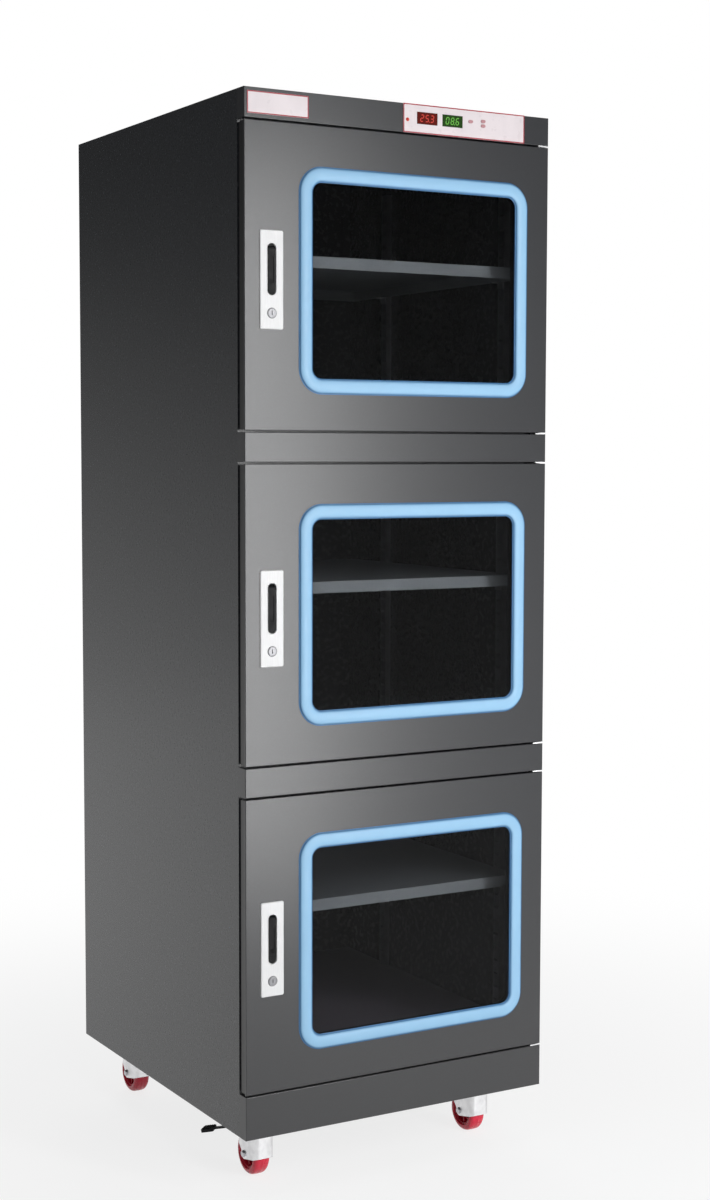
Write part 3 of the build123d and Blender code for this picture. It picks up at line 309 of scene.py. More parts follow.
def lit(name, rgb, strength):
    """A lit lamp or figure behind a diffusing lens."""
    finish = Finish(name, shade(rgb, 0.4), 0.3, Emission_Strength=strength, Emission_Color=(*rgb, 1.0))
    finish.tint(finish.noise(0.002, 1.0), 0.4, 0.7, 0.4, shade(rgb, 0.7))
    return finish.material


def circuit_board():
    """Green solder resist over a run of copper tracks."""
    finish = Finish("Circuit board", (0.02, 0.10, 0.045), 0.35)
    tracks = finish.cells(0.004, (0.25, 1.0, 1.0))
    finish.tint(tracks, 0.6, 0.65, 0.6, (0.05, 0.22, 0.08))
    finish.bump(tracks, 0.00004)
    return finish.material


@cache
def make_finishes():
    """Every named finish, made once."""
    c = colours()
    return {
        "painted_steel": powder_coat("Graphite powder coat", c.paint, 0.27),
        "door_paint": powder_coat("Graphite door coat", c.door, 0.30),
        # The near-black tray coat is painted shade for the shadowed edges of the doors.
        "black_tray": powder_coat("Near-black tray coat with painted shade", c.tray, 0.35),
        "dark_glass": smoked_glass(),
        "blue_rubber": window_rubber(),
        "black_seal": rubber("Magnetic seal", (0.012, 0.012, 0.014), 0.6).material,
        "plated_steel": plated("Bright zinc", (0.86, 0.86, 0.87), 0.4),
        "handle_metal": brushed("Satin handle plate", c.plate, 0.45, metallic=0.0),
        "black_plastic": moulded("Black nylon", (0.009, 0.009, 0.010), 0.55, shine=0.2),
        "lock_metal": brushed("Satin lock", (0.24, 0.24, 0.25), 0.45, (1.0, 0.05, 1.0)),
        "shelf_paint": powder_coat("Shelf coat", c.shelf, 0.42),
        "upright_steel": plated("Dull zinc", (0.55, 0.55, 0.56), 0.42, 0.01),
        "white_panel": moulded("White panel film", c.film, 0.32, 0.0016, 0.00001),
        "display_face": moulded("Display body", (0.02, 0.02, 0.022), 0.3),
        "board_green": circuit_board(),
        "button_plastic": moulded("Key cap", (0.50, 0.25, 0.27), 0.4),
        "white_plastic": moulded("White moulding", (0.66, 0.66, 0.64)),
        "desiccant": moulded("Cartridge", (0.30, 0.31, 0.33), 0.5),
        "red_tyre": rubber("Red polyurethane", c.tyre, 0.33, bloom=0.1, shine=0.6).material,
        "hub": moulded("Red hub core", shade(c.tyre, 0.75), 0.38),
        # Painted light: the chamber floor is the body's painted steel, coloured far paler for the light that falls
        # on it inside.
        "chamber_floor": powder_coat("Chamber floor coat with painted light", (0.26, 0.22, 0.26), 0.4),
        "edge_print": moulded("Red edge line", c.edge_print, 0.35, 0.002, 0.00001),
        "screw": plated("Screw zinc", (0.55, 0.55, 0.57), 0.28, 0.004),
        "brass": brushed("Brass pins", (0.70, 0.52, 0.24), 0.3),
        "red_lit": lit("Red figures", c.red_digits, 0.15),
        "green_lit": lit("Green figures", c.green_digits, 0.06),
        "red_lens": moulded("Red display lens", shade(c.red_digits, 0.10), 0.35, 0.02, 0.00001, 0.1),
        "green_lens": moulded("Green display lens", shade(c.green_digits, 0.06), 0.35, 0.02, 0.00001, 0.1),
        "lamp_lens": lit("Lamp lens", shade(c.red_digits, 0.6), 0.5),
    }


def finish(name):
    return make_finishes()[name]


def dress(node, name=None):
    """Gives a CAD node the finish of its record slot, or a named one."""
    materials = frame["nodes"][node].data.materials
    chosen = finish(name or SLOT_OF[node])
    for i in range(len(materials)):
        materials[i] = chosen


# Meshes and pieces


def mesh_of(name, points, faces):
    """A mesh from points in millimetres."""
    mesh = bpy.data.meshes.new(name)
    mesh.from_pydata([Vector(p) * MM for p in points], [], faces)
    mesh.validate()
    return mesh


def tidy(mesh, crease=35.0):
    """Merges doubles, turns the faces outwards and shades smooth between sharp edges."""
    work = bmesh.new()
    work.from_mesh(mesh)
    bmesh.ops.remove_doubles(work, verts=work.verts, dist=1e-6)
    bmesh.ops.recalc_face_normals(work, faces=work.faces)
    work.to_mesh(mesh)
    work.free()
    mesh.polygons.foreach_set("use_smooth", [True] * len(mesh.polygons))
    mesh.set_sharp_from_angle(angle=math.radians(crease))
    return mesh


def object_of(name, data):
    """An object in the scene that holds a mesh, a lamp or a camera."""
    made = bpy.data.objects.new(name, data)
    bpy.context.scene.collection.objects.link(made)
    return made


def piece(name, mesh, finish_name, body, stands_for=()):
    """A finished piece that rides on a body."""
    made = object_of(name, mesh)
    mesh.materials.clear()
    mesh.materials.append(finish(finish_name))
    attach(made, body)
    if stands_for:
        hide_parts(*stands_for)
    return made


def join(meshes):
    """One mesh of several."""
    work = bmesh.new()
    for mesh in meshes:
        work.from_mesh(mesh)
    joined = bpy.data.meshes.new(meshes[0].name)
    work.to_mesh(joined)
    work.free()
    return joined


def rectangle(half_x, half_y, x=0.0, y=0.0):
    return [(x + sx * half_x, y + sy * half_y) for sx, sy in ((-1, -1), (1, -1), (1, 1), (-1, 1))]


def polar(radius, degrees):
    turn = math.radians(degrees)
    return radius * math.cos(turn), radius * math.sin(turn)


def arc(centre, radius, start, stop, steps):
    """Points on an arc, in degrees, both ends included."""
    points = [polar(radius, start + (stop - start) * i / steps) for i in range(steps + 1)]
    return [(centre[0] + x, centre[1] + y) for x, y in points]


def lathe(name, profile, steps=24):
    """A closed (radius, height) profile turned about Z. Points on the axis make a pole."""
    points, rings = [], []
    for radius, height in profile:
        if radius < 1e-6:
            rings.append([len(points)] * steps)
            points.append((0.0, 0.0, height))
            continue
        rings.append([len(points) + i for i in range(steps)])
        points += [(*polar(radius, 360 * i / steps), height) for i in range(steps)]
    faces = []
    for low, high in zip(rings, rings[1:]):
        for i in range(steps):
            j = (i + 1) % steps
            corners = dict.fromkeys((low[i], low[j], high[j], high[i]))
            if len(corners) > 2:
                faces.append(tuple(corners))
    return mesh_of(name, points, faces)


def stacked(name, rings):
    """Rings of equally many points, joined one above the other and closed at both ends."""
    n = len(rings[0])
    points = [point for ring in rings for point in ring]
    faces = [tuple(range(n))[::-1], tuple(range(len(points) - n, len(points)))]
    for low in range(0, len(points) - n, n):
        faces += [(low + i, low + (i + 1) % n, low + n + (i + 1) % n, low + n + i) for i in range(n)]
    return mesh_of(name, points, faces)


def prism(name, outline, low, high):
    """An outline of (x, y) points carried from one height to another."""
    return stacked(name, [[(x, y, z) for x, y in outline] for z in (low, high)])


def mitred_frame(name, width, height, section):
    """A closed (outward, forward) section round a rectangle that faces -Y, mitred at its corners."""
    points = []
    for sx, sz in ((-1, -1), (1, -1), (1, 1), (-1, 1)):
        points += [(sx * (width / 2 + u), -v, sz * (height / 2 + u)) for u, v in section]
    n = len(section)
    faces = []
    for corner in range(4):
        a, b = corner * n, ((corner + 1) % 4) * n
        faces += [(a + i, a + (i + 1) % n, b + (i + 1) % n, b + i) for i in range(n)]
    return mesh_of(name, points, faces)


# Geometry Nodes


def node_tree(name, **kinds):
    """An empty tree that takes and gives a geometry, with a further input for each named kind."""
    tree = bpy.data.node_groups.new(name, "GeometryNodeTree")
    for label, kind in {"Geometry": "Geometry", **kinds}.items():
        tree.interface.new_socket(label.replace("_", " "), in_out="INPUT", socket_type=f"NodeSocket{kind}")
    tree.interface.new_socket("Geometry", in_out="OUTPUT", socket_type="NodeSocketGeometry")
    return tree, tree.nodes.new("NodeGroupInput").outputs


def grow(tree, kind, inputs, **settings):
    """The first output of a new node."""
    return new_node(tree, kind, inputs, **settings).outputs[0]


def end_tree(tree, geometry):
    """Realizes the instances and ends the tree."""
    real = grow(tree, "GeometryNodeRealizeInstances", {"Geometry": geometry})
    new_node(tree, "NodeGroupOutput", {"Geometry": real})
    return tree


@cache
def swept_section_tree():
    """Sweeps the section that comes in, a loop of edges, round a rectangle with rounded corners."""
    kinds = {"Width": "Float", "Height": "Float", "Corner_Radius": "Float", "Corner_Steps": "Int"}
    tree, given = node_tree("Section round a window", **kinds)
    size = {"Width": given["Width"], "Height": given["Height"]}
    outline = grow(tree, "GeometryNodeCurvePrimitiveQuadrilateral", size, mode="RECTANGLE")
    fillet = {"Curve": outline, "Count": given["Corner Steps"], "Radius": given["Corner Radius"]}
    path = grow(tree, "GeometryNodeFilletCurve", fillet, mode="POLY")
    path = grow(tree, "GeometryNodeSetCurveNormal", {"Curve": path}, mode="Z_UP")
    section = grow(tree, "GeometryNodeMeshToCurve", {"Mesh": given["Geometry"]})
    swept = grow(tree, "GeometryNodeCurveToMesh", {"Curve": path, "Profile Curve": section})
    return end_tree(tree, swept)


# The number sockets of a Random Value node, which share their names with its other sockets
RANDOM_MAX, RANDOM_RESULT = 3, 1


@cache
def scatter_tree():
    """Sets one fastener on each point that comes in, facing one way, each with its own random spin."""
    tree, given = node_tree("Fasteners on points", Fastener="Object", Facing="Vector", Seed="Int")
    fastener = new_node(tree, "GeometryNodeObjectInfo", {"Object": given["Fastener"]}).outputs["Geometry"]
    aimed = grow(tree, "FunctionNodeAlignRotationToVector", {"Vector": given["Facing"]}, axis="Z")
    limits = {RANDOM_MAX: math.tau, "Seed": given["Seed"]}
    random = new_node(tree, "FunctionNodeRandomValue", limits, data_type="FLOAT").outputs[RANDOM_RESULT]
    spin = grow(tree, "ShaderNodeCombineXYZ", {"Z": random})
    spin = grow(tree, "FunctionNodeEulerToRotation", {"Euler": spin})
    turns = {"Rotation": aimed, "Rotate By": spin}
    rotation = grow(tree, "FunctionNodeRotateRotation", turns, rotation_space="LOCAL")
    placed = {"Points": given["Geometry"], "Instance": fastener, "Rotation": rotation}
    return end_tree(tree, grow(tree, "GeometryNodeInstanceOnPoints", placed))


@cache
def ring_of_copies_tree():
    """Sets a number of copies of the mesh that comes in evenly round the Z axis."""
    tree, given = node_tree("Copies round an axis", Count="Int")
    points = grow(tree, "GeometryNodeMeshLine", {"Count": given["Count"], "Offset": (0.0, 0.0, 0.0)})
    index = tree.nodes.new("GeometryNodeInputIndex").outputs[0]
    share = grow(tree, "ShaderNodeMath", {0: index, 1: given["Count"]}, operation="DIVIDE")
    turn = grow(tree, "ShaderNodeMath", {0: share, 1: math.tau}, operation="MULTIPLY")
    rotation = grow(tree, "ShaderNodeCombineXYZ", {"Z": turn})
    placed = {"Points": points, "Instance": given["Geometry"], "Rotation": rotation}
    return end_tree(tree, grow(tree, "GeometryNodeInstanceOnPoints", placed))


def evaluated_mesh(made):
    """The plain mesh of an object after its modifiers."""
    return bpy.data.meshes.new_from_object(made.evaluated_get(bpy.context.evaluated_depsgraph_get()))


def grown_mesh(mesh, tree, **values):
    """The plain mesh that a tree makes of a mesh. Values are the tree's inputs, with _ for a space."""
    carrier = object_of("carrier", mesh)
    modifier = carrier.modifiers.new("Nodes", "NODES")
    modifier.node_group = tree
    sockets = {item.name: item.identifier for item in tree.interface.items_tree if item.in_out == "INPUT"}
    for label, value in values.items():
        modifier[sockets[label.replace("_", " ")]] = value
    made = evaluated_mesh(carrier)
    bpy.data.objects.remove(carrier)
    return made


def section_loop(points):
    """A loop of edges from (outward, forward) points in millimetres. The sweep turns -Y to its own +Z."""
    n = len(points)
    mesh = bpy.data.meshes.new("section")
    places = [Vector((u, -v, 0.0)) * MM for u, v in points]
    mesh.from_pydata(places, [(i, (i + 1) % n) for i in range(n)], [])
    return mesh


def swept(section, width, height, radius, steps=None):
    """A section swept round a rounded rectangle in the XY plane, its forward side towards +Z."""
    return grown_mesh(
        section_loop(section),
        swept_section_tree(),
        Width=width * MM,
        Height=height * MM,
        Corner_Radius=radius * MM,
        Corner_Steps=steps or sizes().corner_steps,
    )


def turned(degrees, axis):
    return Matrix.Rotation(math.radians(degrees), 4, axis)


FACING_FRONT = turned(90, "X")
AXIS_X = turned(90, "Y")


def move(mesh, place, turn=None):
    """Turns a mesh and sets its origin at a place in millimetres."""
    mesh.transform(Matrix.Translation(Vector(place) * MM) @ (turn or Matrix.Identity(4)))
    return mesh


def scattered(head, places, facing, seed):
    """Copies of a fastener's mesh at places in millimetres, facing one way."""
    model = object_of("fastener model", head)
    given = {"Fastener": model, "Facing": facing, "Seed": seed}
    made = grown_mesh(mesh_of("places", places, []), scatter_tree(), **given)
    bpy.data.objects.remove(model)
    return made


# Fasteners


def cross_screw(diameter, height):
    """A pan head with a cross recess, on twelve-sided rings."""
    radius = diameter / 2
    arm, half = 0.52 * radius, 0.12 * radius
    slant, tip = math.degrees(math.atan2(half, arm)), math.hypot(arm, half)
    quarters = (0, 90, 180, 270)
    even = [polar(radius, quarter + a) for quarter in quarters for a in (-15, 15, 45)]
    corners = ((-slant, tip), (slant, tip), (45, half * math.sqrt(2)))
    cross = [polar(r, quarter + a) for quarter in quarters for a, r in corners]
    dome = ((1.0, 0.0), (1.0, 0.35), (0.93, 0.68), (0.78, 0.88), (0.62, 1.0))
    rings = [[(share * x, share * y, z * height) for x, y in even] for share, z in dome]
    rings += [[(x, y, z * height) for x, y in cross] for z in (1.0, 0.35)]
    return tidy(stacked("cross screw", rings), 40.0)


def hex_head(across, height, washer):
    """A hexagon head with chamfered corners, on its washer."""
    outline = [polar(across / math.sqrt(3), 60 * i) for i in range(6)]
    thick, chamfer, bevel = 0.9, 0.5, 0.86
    top = thick + height
    levels = ((1.0, thick), (1.0, top - chamfer), (bevel, top))
    head = stacked("hex head", [[(share * x, share * y, z) for x, y in outline] for share, z in levels])
    disc = lathe("washer", [(0, 0), (washer, 0), (washer, 0.7), (washer - 0.3, thick), (0, thick)], 20)
    return tidy(join([head, disc]), 30.0)


def grid(xs, zs, y):
    return [(x, y, z) for z in zs for x in xs]


def spaced(low, high, count):
    return [low + (high - low) * i / (count - 1) for i in range(count)]


# Operators


class CabinetOperator:
    """What the cabinet's operators share."""

    bl_options = {"REGISTER", "UNDO"}

    def execute(self, context):
        self.build()
        return {"FINISHED"}


class SheetMetal(CabinetOperator, Operator):
    """Gives every CAD node the finish of its own slot"""

    bl_idname = "drying_cabinet.sheet_metal"
    bl_label = "Finish the sheet metal and fittings"

    def build(self):
        for node in frame["nodes"]:
            dress(node)
        for node in ("fascia", "middle_rails", "kick_plate"):
            dress(node, "door_paint")
        # The chamber floor takes a paler copy of the body paint: painted light.
        dress("chamber_floor", "chamber_floor")


def rubber_section():
    """The glazing rubber: a crown between thin lips, a neck, and lips behind the skin and the glass."""
    s = sizes()
    half, rise, lip = s.ring_band / 2 / MM, s.ring_crown / MM, s.ring_lip / MM
    lip_rise, crown_half, power, steps = 0.8, half - lip, 2.05, 18
    crown = []
    for i in range(steps + 1):
        u = crown_half * math.cos(math.pi * i / steps)
        full = max(0.0, 1 - abs(u / crown_half) ** power) ** (1 / power)
        crown.append((u, lip_rise + (rise - lip_rise) * full))
    right = [(half, 0.0), (half, lip_rise * 0.6), (half - lip * 0.4, lip_rise)]
    left = [(-u, v) for u, v in reversed(right)]
    neck = 2.4
    behind = [
        (-neck, 0.0), (-neck, -4.0), (-half + 2.6, -4.0), (-half + 2.0, -4.6), (-half + 2.0, -6.5),
        (half - 2.0, -6.5), (half - 2.0, -2.1), (half - 2.6, -1.5), (neck, -1.5), (neck, 0.0),
    ]
    return right + crown + left + behind


class WindowRubbers(CabinetOperator, Operator):
    """Sweeps the light-blue glazing rubber round each window"""

    bl_idname = "drying_cabinet.window_rubbers"
    bl_label = "Make the window rubbers"
    outer_radius = 43.0

    def build(self):
        band = sizes().ring_band / MM
        radius = self.outer_radius - band / 2
        for door in DOORS:
            node = f"{door}_window_trim"
            _, size, centre = span(node)
            place = (centre.x, box_mm(f"{door}_door_skin")[0].y, centre.z)
            mesh = swept(rubber_section(), size.x - band, size.z - band, radius)
            mesh = tidy(move(mesh, place, FACING_FRONT), 50.0)
            piece(f"{door}_window_rubber", mesh, "blue_rubber", f"{door}_door", (node,))


def seal_section(width, depth):
    """A magnetic door seal: a base, a narrow bellows waist and the flat magnet pocket."""
    half = width / 2
    right = [
        (half, 0.0), (half, -0.8), (half - 2.4, -1.2), (half - 2.8, -1.9), (half - 1.2, -2.6),
        (half - 0.6, -depth + 0.4), (half - 1.2, -depth),
    ]
    return right + [(-u, v) for u, v in reversed(right)]


class DoorSeals(CabinetOperator, Operator):
    """Frames the back of each door with its mitred magnetic seal"""

    bl_idname = "drying_cabinet.door_seals"
    bl_label = "Make the door seals"
    band = 14.0

    def build(self):
        for door in DOORS:
            node = f"{door}_door_seal"
            low, size, centre = span(node)
            section = seal_section(self.band, size.y)
            mesh = mitred_frame(node, size.x - self.band, size.z - self.band, section)
            mesh = tidy(move(mesh, (centre.x, low.y, centre.z)), 30.0)
            piece(f"{door}_magnetic_seal", mesh, "black_seal", f"{door}_door", (node,))


class HandleDetails(CabinetOperator, Operator):
    """Adds the slot's rolled rim, the lever's finger ribs and the collar round each key plug"""

    bl_idname = "drying_cabinet.handle_details"
    bl_label = "Make the handle details"

    # The openings in the handle plate, and how far their middles are below its top edge
    slot_size, slot_drop = (16.0, 84.0), 63.0
    plug_size, plug_drop = (14.6, 14.6), 134.0
    corner_gap = 0.01
    rim_section = ((0.2, 0.0), (1.1, 0.0), (1.0, 0.45), (0.6, 0.6), (0.25, 0.4))
    collar_section = ((0.2, 0.0), (1.6, 0.0), (1.3, 0.7), (0.7, 0.9), (0.2, 0.6))
    rib_section = ((-0.7, 0.3), (0.7, 0.3), (0.45, -0.35), (-0.45, -0.35))
    rib_count, first_rib, rib_pitch, rib_half, rib_sink = 6, 10.0, 2.6, 3.6, 0.1

    def build(self):
        for door in DOORS:
            low, high = box_mm(f"{door}_handle_plate")
            x = (low.x + high.x) / 2
            slot, plug = (x, low.y, high.z - self.slot_drop), (x, low.y, high.z - self.plug_drop)
            self.rim(door, "slot_rim", self.rim_section, self.slot_size, slot, "handle_metal")
            self.rim(door, "lock_collar", self.collar_section, self.plug_size, plug, "lock_metal")
            self.ribs(door, x)

    def rim(self, door, name, section, size, place, finish_name):
        """A rim swept round an opening in the handle plate, round at its ends."""
        mesh = swept(section, *size, size[0] / 2 - self.corner_gap)
        mesh = tidy(move(mesh, place, FACING_FRONT), 60.0)
        piece(f"{door}_{name}", mesh, finish_name, f"{door}_door")

    def ribs(self, door, x):
        """Finger ribs across the lever's face."""
        lever = f"{door}_pull_lever"
        low = box_mm(lever)[0]
        ribs = []
        for i in range(self.rib_count):
            rib = prism("rib", self.rib_section, -self.rib_half, self.rib_half)
            place = (x, low.y + self.rib_sink, low.z + self.first_rib + self.rib_pitch * i)
            ribs.append(move(rib, place, AXIS_X @ turned(90, "Z")))
        piece(f"{door}_lever_ribs", tidy(join(ribs), 40.0), "black_plastic", lever)


SEGMENTS = {
    "0": "abcdef", "1": "bc", "2": "abged", "3": "abgcd", "4": "fgbc",
    "5": "afgcd", "6": "afgedc", "7": "abc", "8": "abcdefg", "9": "abfgcd",
}
# Where each segment starts and ends, in bars from the figure's lower left corner
SEGMENT_ENDS = {
    "a": ((0, 2), (1, 2)), "b": ((1, 2), (1, 1)), "c": ((1, 1), (1, 0)), "d": ((0, 0), (1, 0)),
    "e": ((0, 1), (0, 0)), "f": ((0, 2), (0, 1)), "g": ((0, 1), (1, 1)),
}
READINGS = (("red_lit", "25.3"), ("green_lit", "08.6"))
DISPLAY_MIDDLES = (47.0, 98.0)


def bar(a, b, stroke):
    """A six-sided bar between two points, in the plane of the figures."""
    (ax, az), (bx, bz) = a, b
    run = math.hypot(bx - ax, bz - az)
    ux, uz = (bx - ax) / run, (bz - az) / run
    gap, h = 0.22, stroke / 2
    corners = ((gap, 0), (gap + h, h), (run - gap - h, h), (run - gap, 0), (run - gap - h, -h), (gap + h, -h))
    return [(ax + ux * s - uz * t, az + uz * s + ux * t) for s, t in corners]


def figure(character, side, stroke):
    """The outlines of one seven-segment figure, whose bars are as long as its half height."""
    return [bar(*[(side * x, side * z) for x, z in SEGMENT_ENDS[key]], stroke) for key in SEGMENTS[character]]


class DisplayPanel(CabinetOperator, Operator):
    """Lights the two displays with plain numbers, frames the white panels and marks the lamp"""

    bl_idname = "drying_cabinet.display_panel"
    bl_label = "Make the display panel"

    slant, figure_gap, figure_rise = 0.14, 4.6, 0.12
    dot_half, dot_back, dot_drop = 0.8, 2.4, 0.2
    lens_half, lens_gap, lens_rise = 20.3, 0.2, 0.05
    lamp_along, lamp_drop, lamp_radius, lamp_sink = 8.4, 27.0, 3.1, 0.4
    line_width, line_rise, line_gap = 1.8, 0.12, 0.2

    def build(self):
        low, size, centre = span("displays")
        for middle, (lit_name, reading) in zip(DISPLAY_MIDDLES, READINGS):
            place = (middle, low.y, centre.z)
            figures = tidy(move(self.figures(reading), place, FACING_FRONT), 30.0)
            piece(f"{lit_name}_figures", figures, lit_name, "root")
            self.lens(lit_name.replace("lit", "lens"), place, size.z / 2 - self.lens_gap)
        for node in ("display_bezel", "label_plate"):
            self.edge_line(node)
        self.lamp_cap()

    def figures(self, reading):
        """A reading's lit bars, leant and raised from the XY plane, with their middle at the origin."""
        stroke = sizes().digit_stroke / MM
        side = (sizes().digit_height / MM - stroke) / 2
        pitch = side + self.figure_gap
        x = -(len(reading.replace(".", "")) * pitch - self.figure_gap) / 2
        outlines = []
        for character in reading:
            if character == ".":
                outlines.append(rectangle(self.dot_half, self.dot_half, x - self.dot_back, -self.dot_drop))
                continue
            outlines += [[(x + a, b) for a, b in outline] for outline in figure(character, side, stroke)]
            x += pitch
        bars = []
        for outline in outlines:
            leant = [(a + self.slant * (b - side), b - side) for a, b in outline]
            bars.append(prism("bar", leant, 0.0, self.figure_rise))
        return join(bars)

    def lens(self, name, place, half_height):
        """The tinted window round the figures: a thin plate under them."""
        mesh = prism("lens", rectangle(self.lens_half, half_height), 0.0, self.lens_rise)
        piece(name, tidy(move(mesh, place, FACING_FRONT)), name, "root")

    def lamp_cap(self):
        """The domed red lens over the small lamp."""
        low, high = box_mm("display_bezel")
        radius, flat = self.lamp_radius, 0.9
        dome = [(x, flat * y) for x, y in arc((0.0, 0.0), radius, 0.0, 75.0, 5)]
        foot = [(0.0, -self.lamp_sink), (radius, -self.lamp_sink)]
        mesh = lathe("lamp cap", [*foot, *dome, (0.0, flat * radius)], 28)
        move(mesh, (low.x + self.lamp_along, low.y, high.z - self.lamp_drop), FACING_FRONT)
        piece("power_lamp_cap", tidy(mesh, 50.0), "lamp_lens", "root")

    def edge_line(self, node):
        """A thin red line round a white panel."""
        low, size, centre = span(node)
        width, rise = self.line_width, self.line_rise
        section = [(-width, 0.0), (0.0, 0.0), (0.0, rise), (-width, rise)]
        mesh = mitred_frame(node, size.x - self.line_gap, size.z - self.line_gap, section)
        move(mesh, (centre.x, low.y, centre.z))
        piece(f"{node}_edge_line", tidy(mesh), "edge_print", "root")


class Fasteners(CabinetOperator, Operator):
    """Sets the back panel's screws, the inlet's screws, the dry unit's screws and the casters' bolts"""

    bl_idname = "drying_cabinet.fasteners"
    bl_label = "Set the screws and bolts"

    def build(self):
        self.back_screws()
        self.inlet_screws()
        self.dry_unit_screws()
        self.caster_bolts()

    def fasten(self, name, head, places, facing, seed):
        piece(name, scattered(head, places, facing, seed), "screw", "root")

    def back_screws(self):
        low, high = box_mm("back_panel")
        edge, end_gap, side_gap = 10.0, 25.0, 150.0
        sides = grid((low.x + edge, high.x - edge), spaced(low.z + end_gap, high.z - end_gap, 9), high.y)
        rows = grid(spaced(low.x + side_gap, high.x - side_gap, 3), (low.z + edge, high.z - edge), high.y)
        head = cross_screw(sizes().screw_head / MM, height=2.2)
        self.fasten("back_panel_screws", head, sides + rows, (0, 1, 0), 3)

    def inlet_screws(self):
        low, size, centre = span("power_inlet")
        inset, apart, half_sheet, flange = 5.0, 40.0, 0.75, 2.0
        right = low.x + size.x - inset
        face = span("back_panel")[2].y + half_sheet + flange
        places = grid((right, right - apart), (centre.z,), face)
        self.fasten("inlet_screws", cross_screw(diameter=5.5, height=1.6), places, (0, 1, 0), 5)

    def dry_unit_screws(self):
        low, high = box_mm("dry_unit_case")
        inset = 12.0
        places = grid((low.x + inset, high.x - inset), (low.z + inset, high.z - inset), low.y)
        self.fasten("dry_unit_screws", cross_screw(diameter=6.0, height=1.8), places, (0, -1, 0), 7)

    def caster_bolts(self):
        inset, under = 27.5, 104.0
        places = []
        for caster in CASTERS:
            x, y, _ = joint_place(f"{caster}_swivel")
            places += [(x + dx, y + dy, under) for dx in (-inset, inset) for dy in (-inset, inset)]
        self.fasten("caster_bolts", hex_head(across=9.0, height=3.2, washer=6.0), places, (0, 0, -1), 9)


def mirrored(upper):
    """A closed section from its upper half of (outward, sideways) points."""
    return upper + [(u, -v) for u, v in reversed(upper)]


def tyre_section(depth):
    """A tyre's (outward, sideways) section: rounded shoulders, a tread and a fine mould line."""
    half, shoulder_r, tread, inner = 15.0, 8.6, depth - 0.15, 0.02
    shoulder = arc((tread - shoulder_r, half - shoulder_r), shoulder_r, 90.0, 0.0, 9)
    return mirrored([(inner, half - 0.8), (0.9, half), *shoulder, (tread, 0.7), (depth, 0.35)])


def hub_section(hub_r, bore_r):
    """A hub's (outward, sideways) section from its bore: a boss, a dished web and a rim."""
    boss, rim_out = 9.0 - bore_r, hub_r - bore_r
    rim_in = rim_out - 4.0
    boss_half, rim_half, web_half = 15.0, 12.0, 3.6
    return mirrored([
        (0.0, boss_half - 0.5), (0.5, boss_half), (boss - 0.8, boss_half), (boss, boss_half - 0.8),
        (boss + 0.9, web_half + 0.8), (boss + 1.8, web_half), (rim_in - 1.2, web_half),
        (rim_in, web_half + 1.0), (rim_in + 0.6, rim_half - 0.5), (rim_in + 1.1, rim_half),
        (rim_out - 0.4, rim_half), (rim_out, rim_half - 0.4),
    ])


def cut(mesh, *steps):
    """A mesh after boolean steps of (operation, other mesh)."""
    target = object_of("target", mesh)
    spares = [target]
    for operation, other in steps:
        spares.append(object_of("tool", other))
        modifier = target.modifiers.new("Cut", "BOOLEAN")
        modifier.operation = operation
        modifier.solver = "EXACT"
        modifier.object = spares[-1]
    made = evaluated_mesh(target)
    for spare in spares:
        bpy.data.objects.remove(spare)
    return made


def hood_plan(half, front, rear, radius):
    """A plan of (x, y) points, square at the rear and round at its two front corners."""
    left = arc((radius - half, front + radius), radius, 180.0, 270.0, 8)
    right = arc((half - radius, front + radius), radius, 270.0, 360.0, 8)
    return [(-half, rear), *left, *right, (half, rear)]


# Takes a prism of a (y, z) outline to the frame's Y and Z, and its thickness to X
SIDE_VIEW = Matrix(((0, 0, 1, 0), (1, 0, 0, 0), (0, 1, 0, 0), (0, 0, 0, 1)))


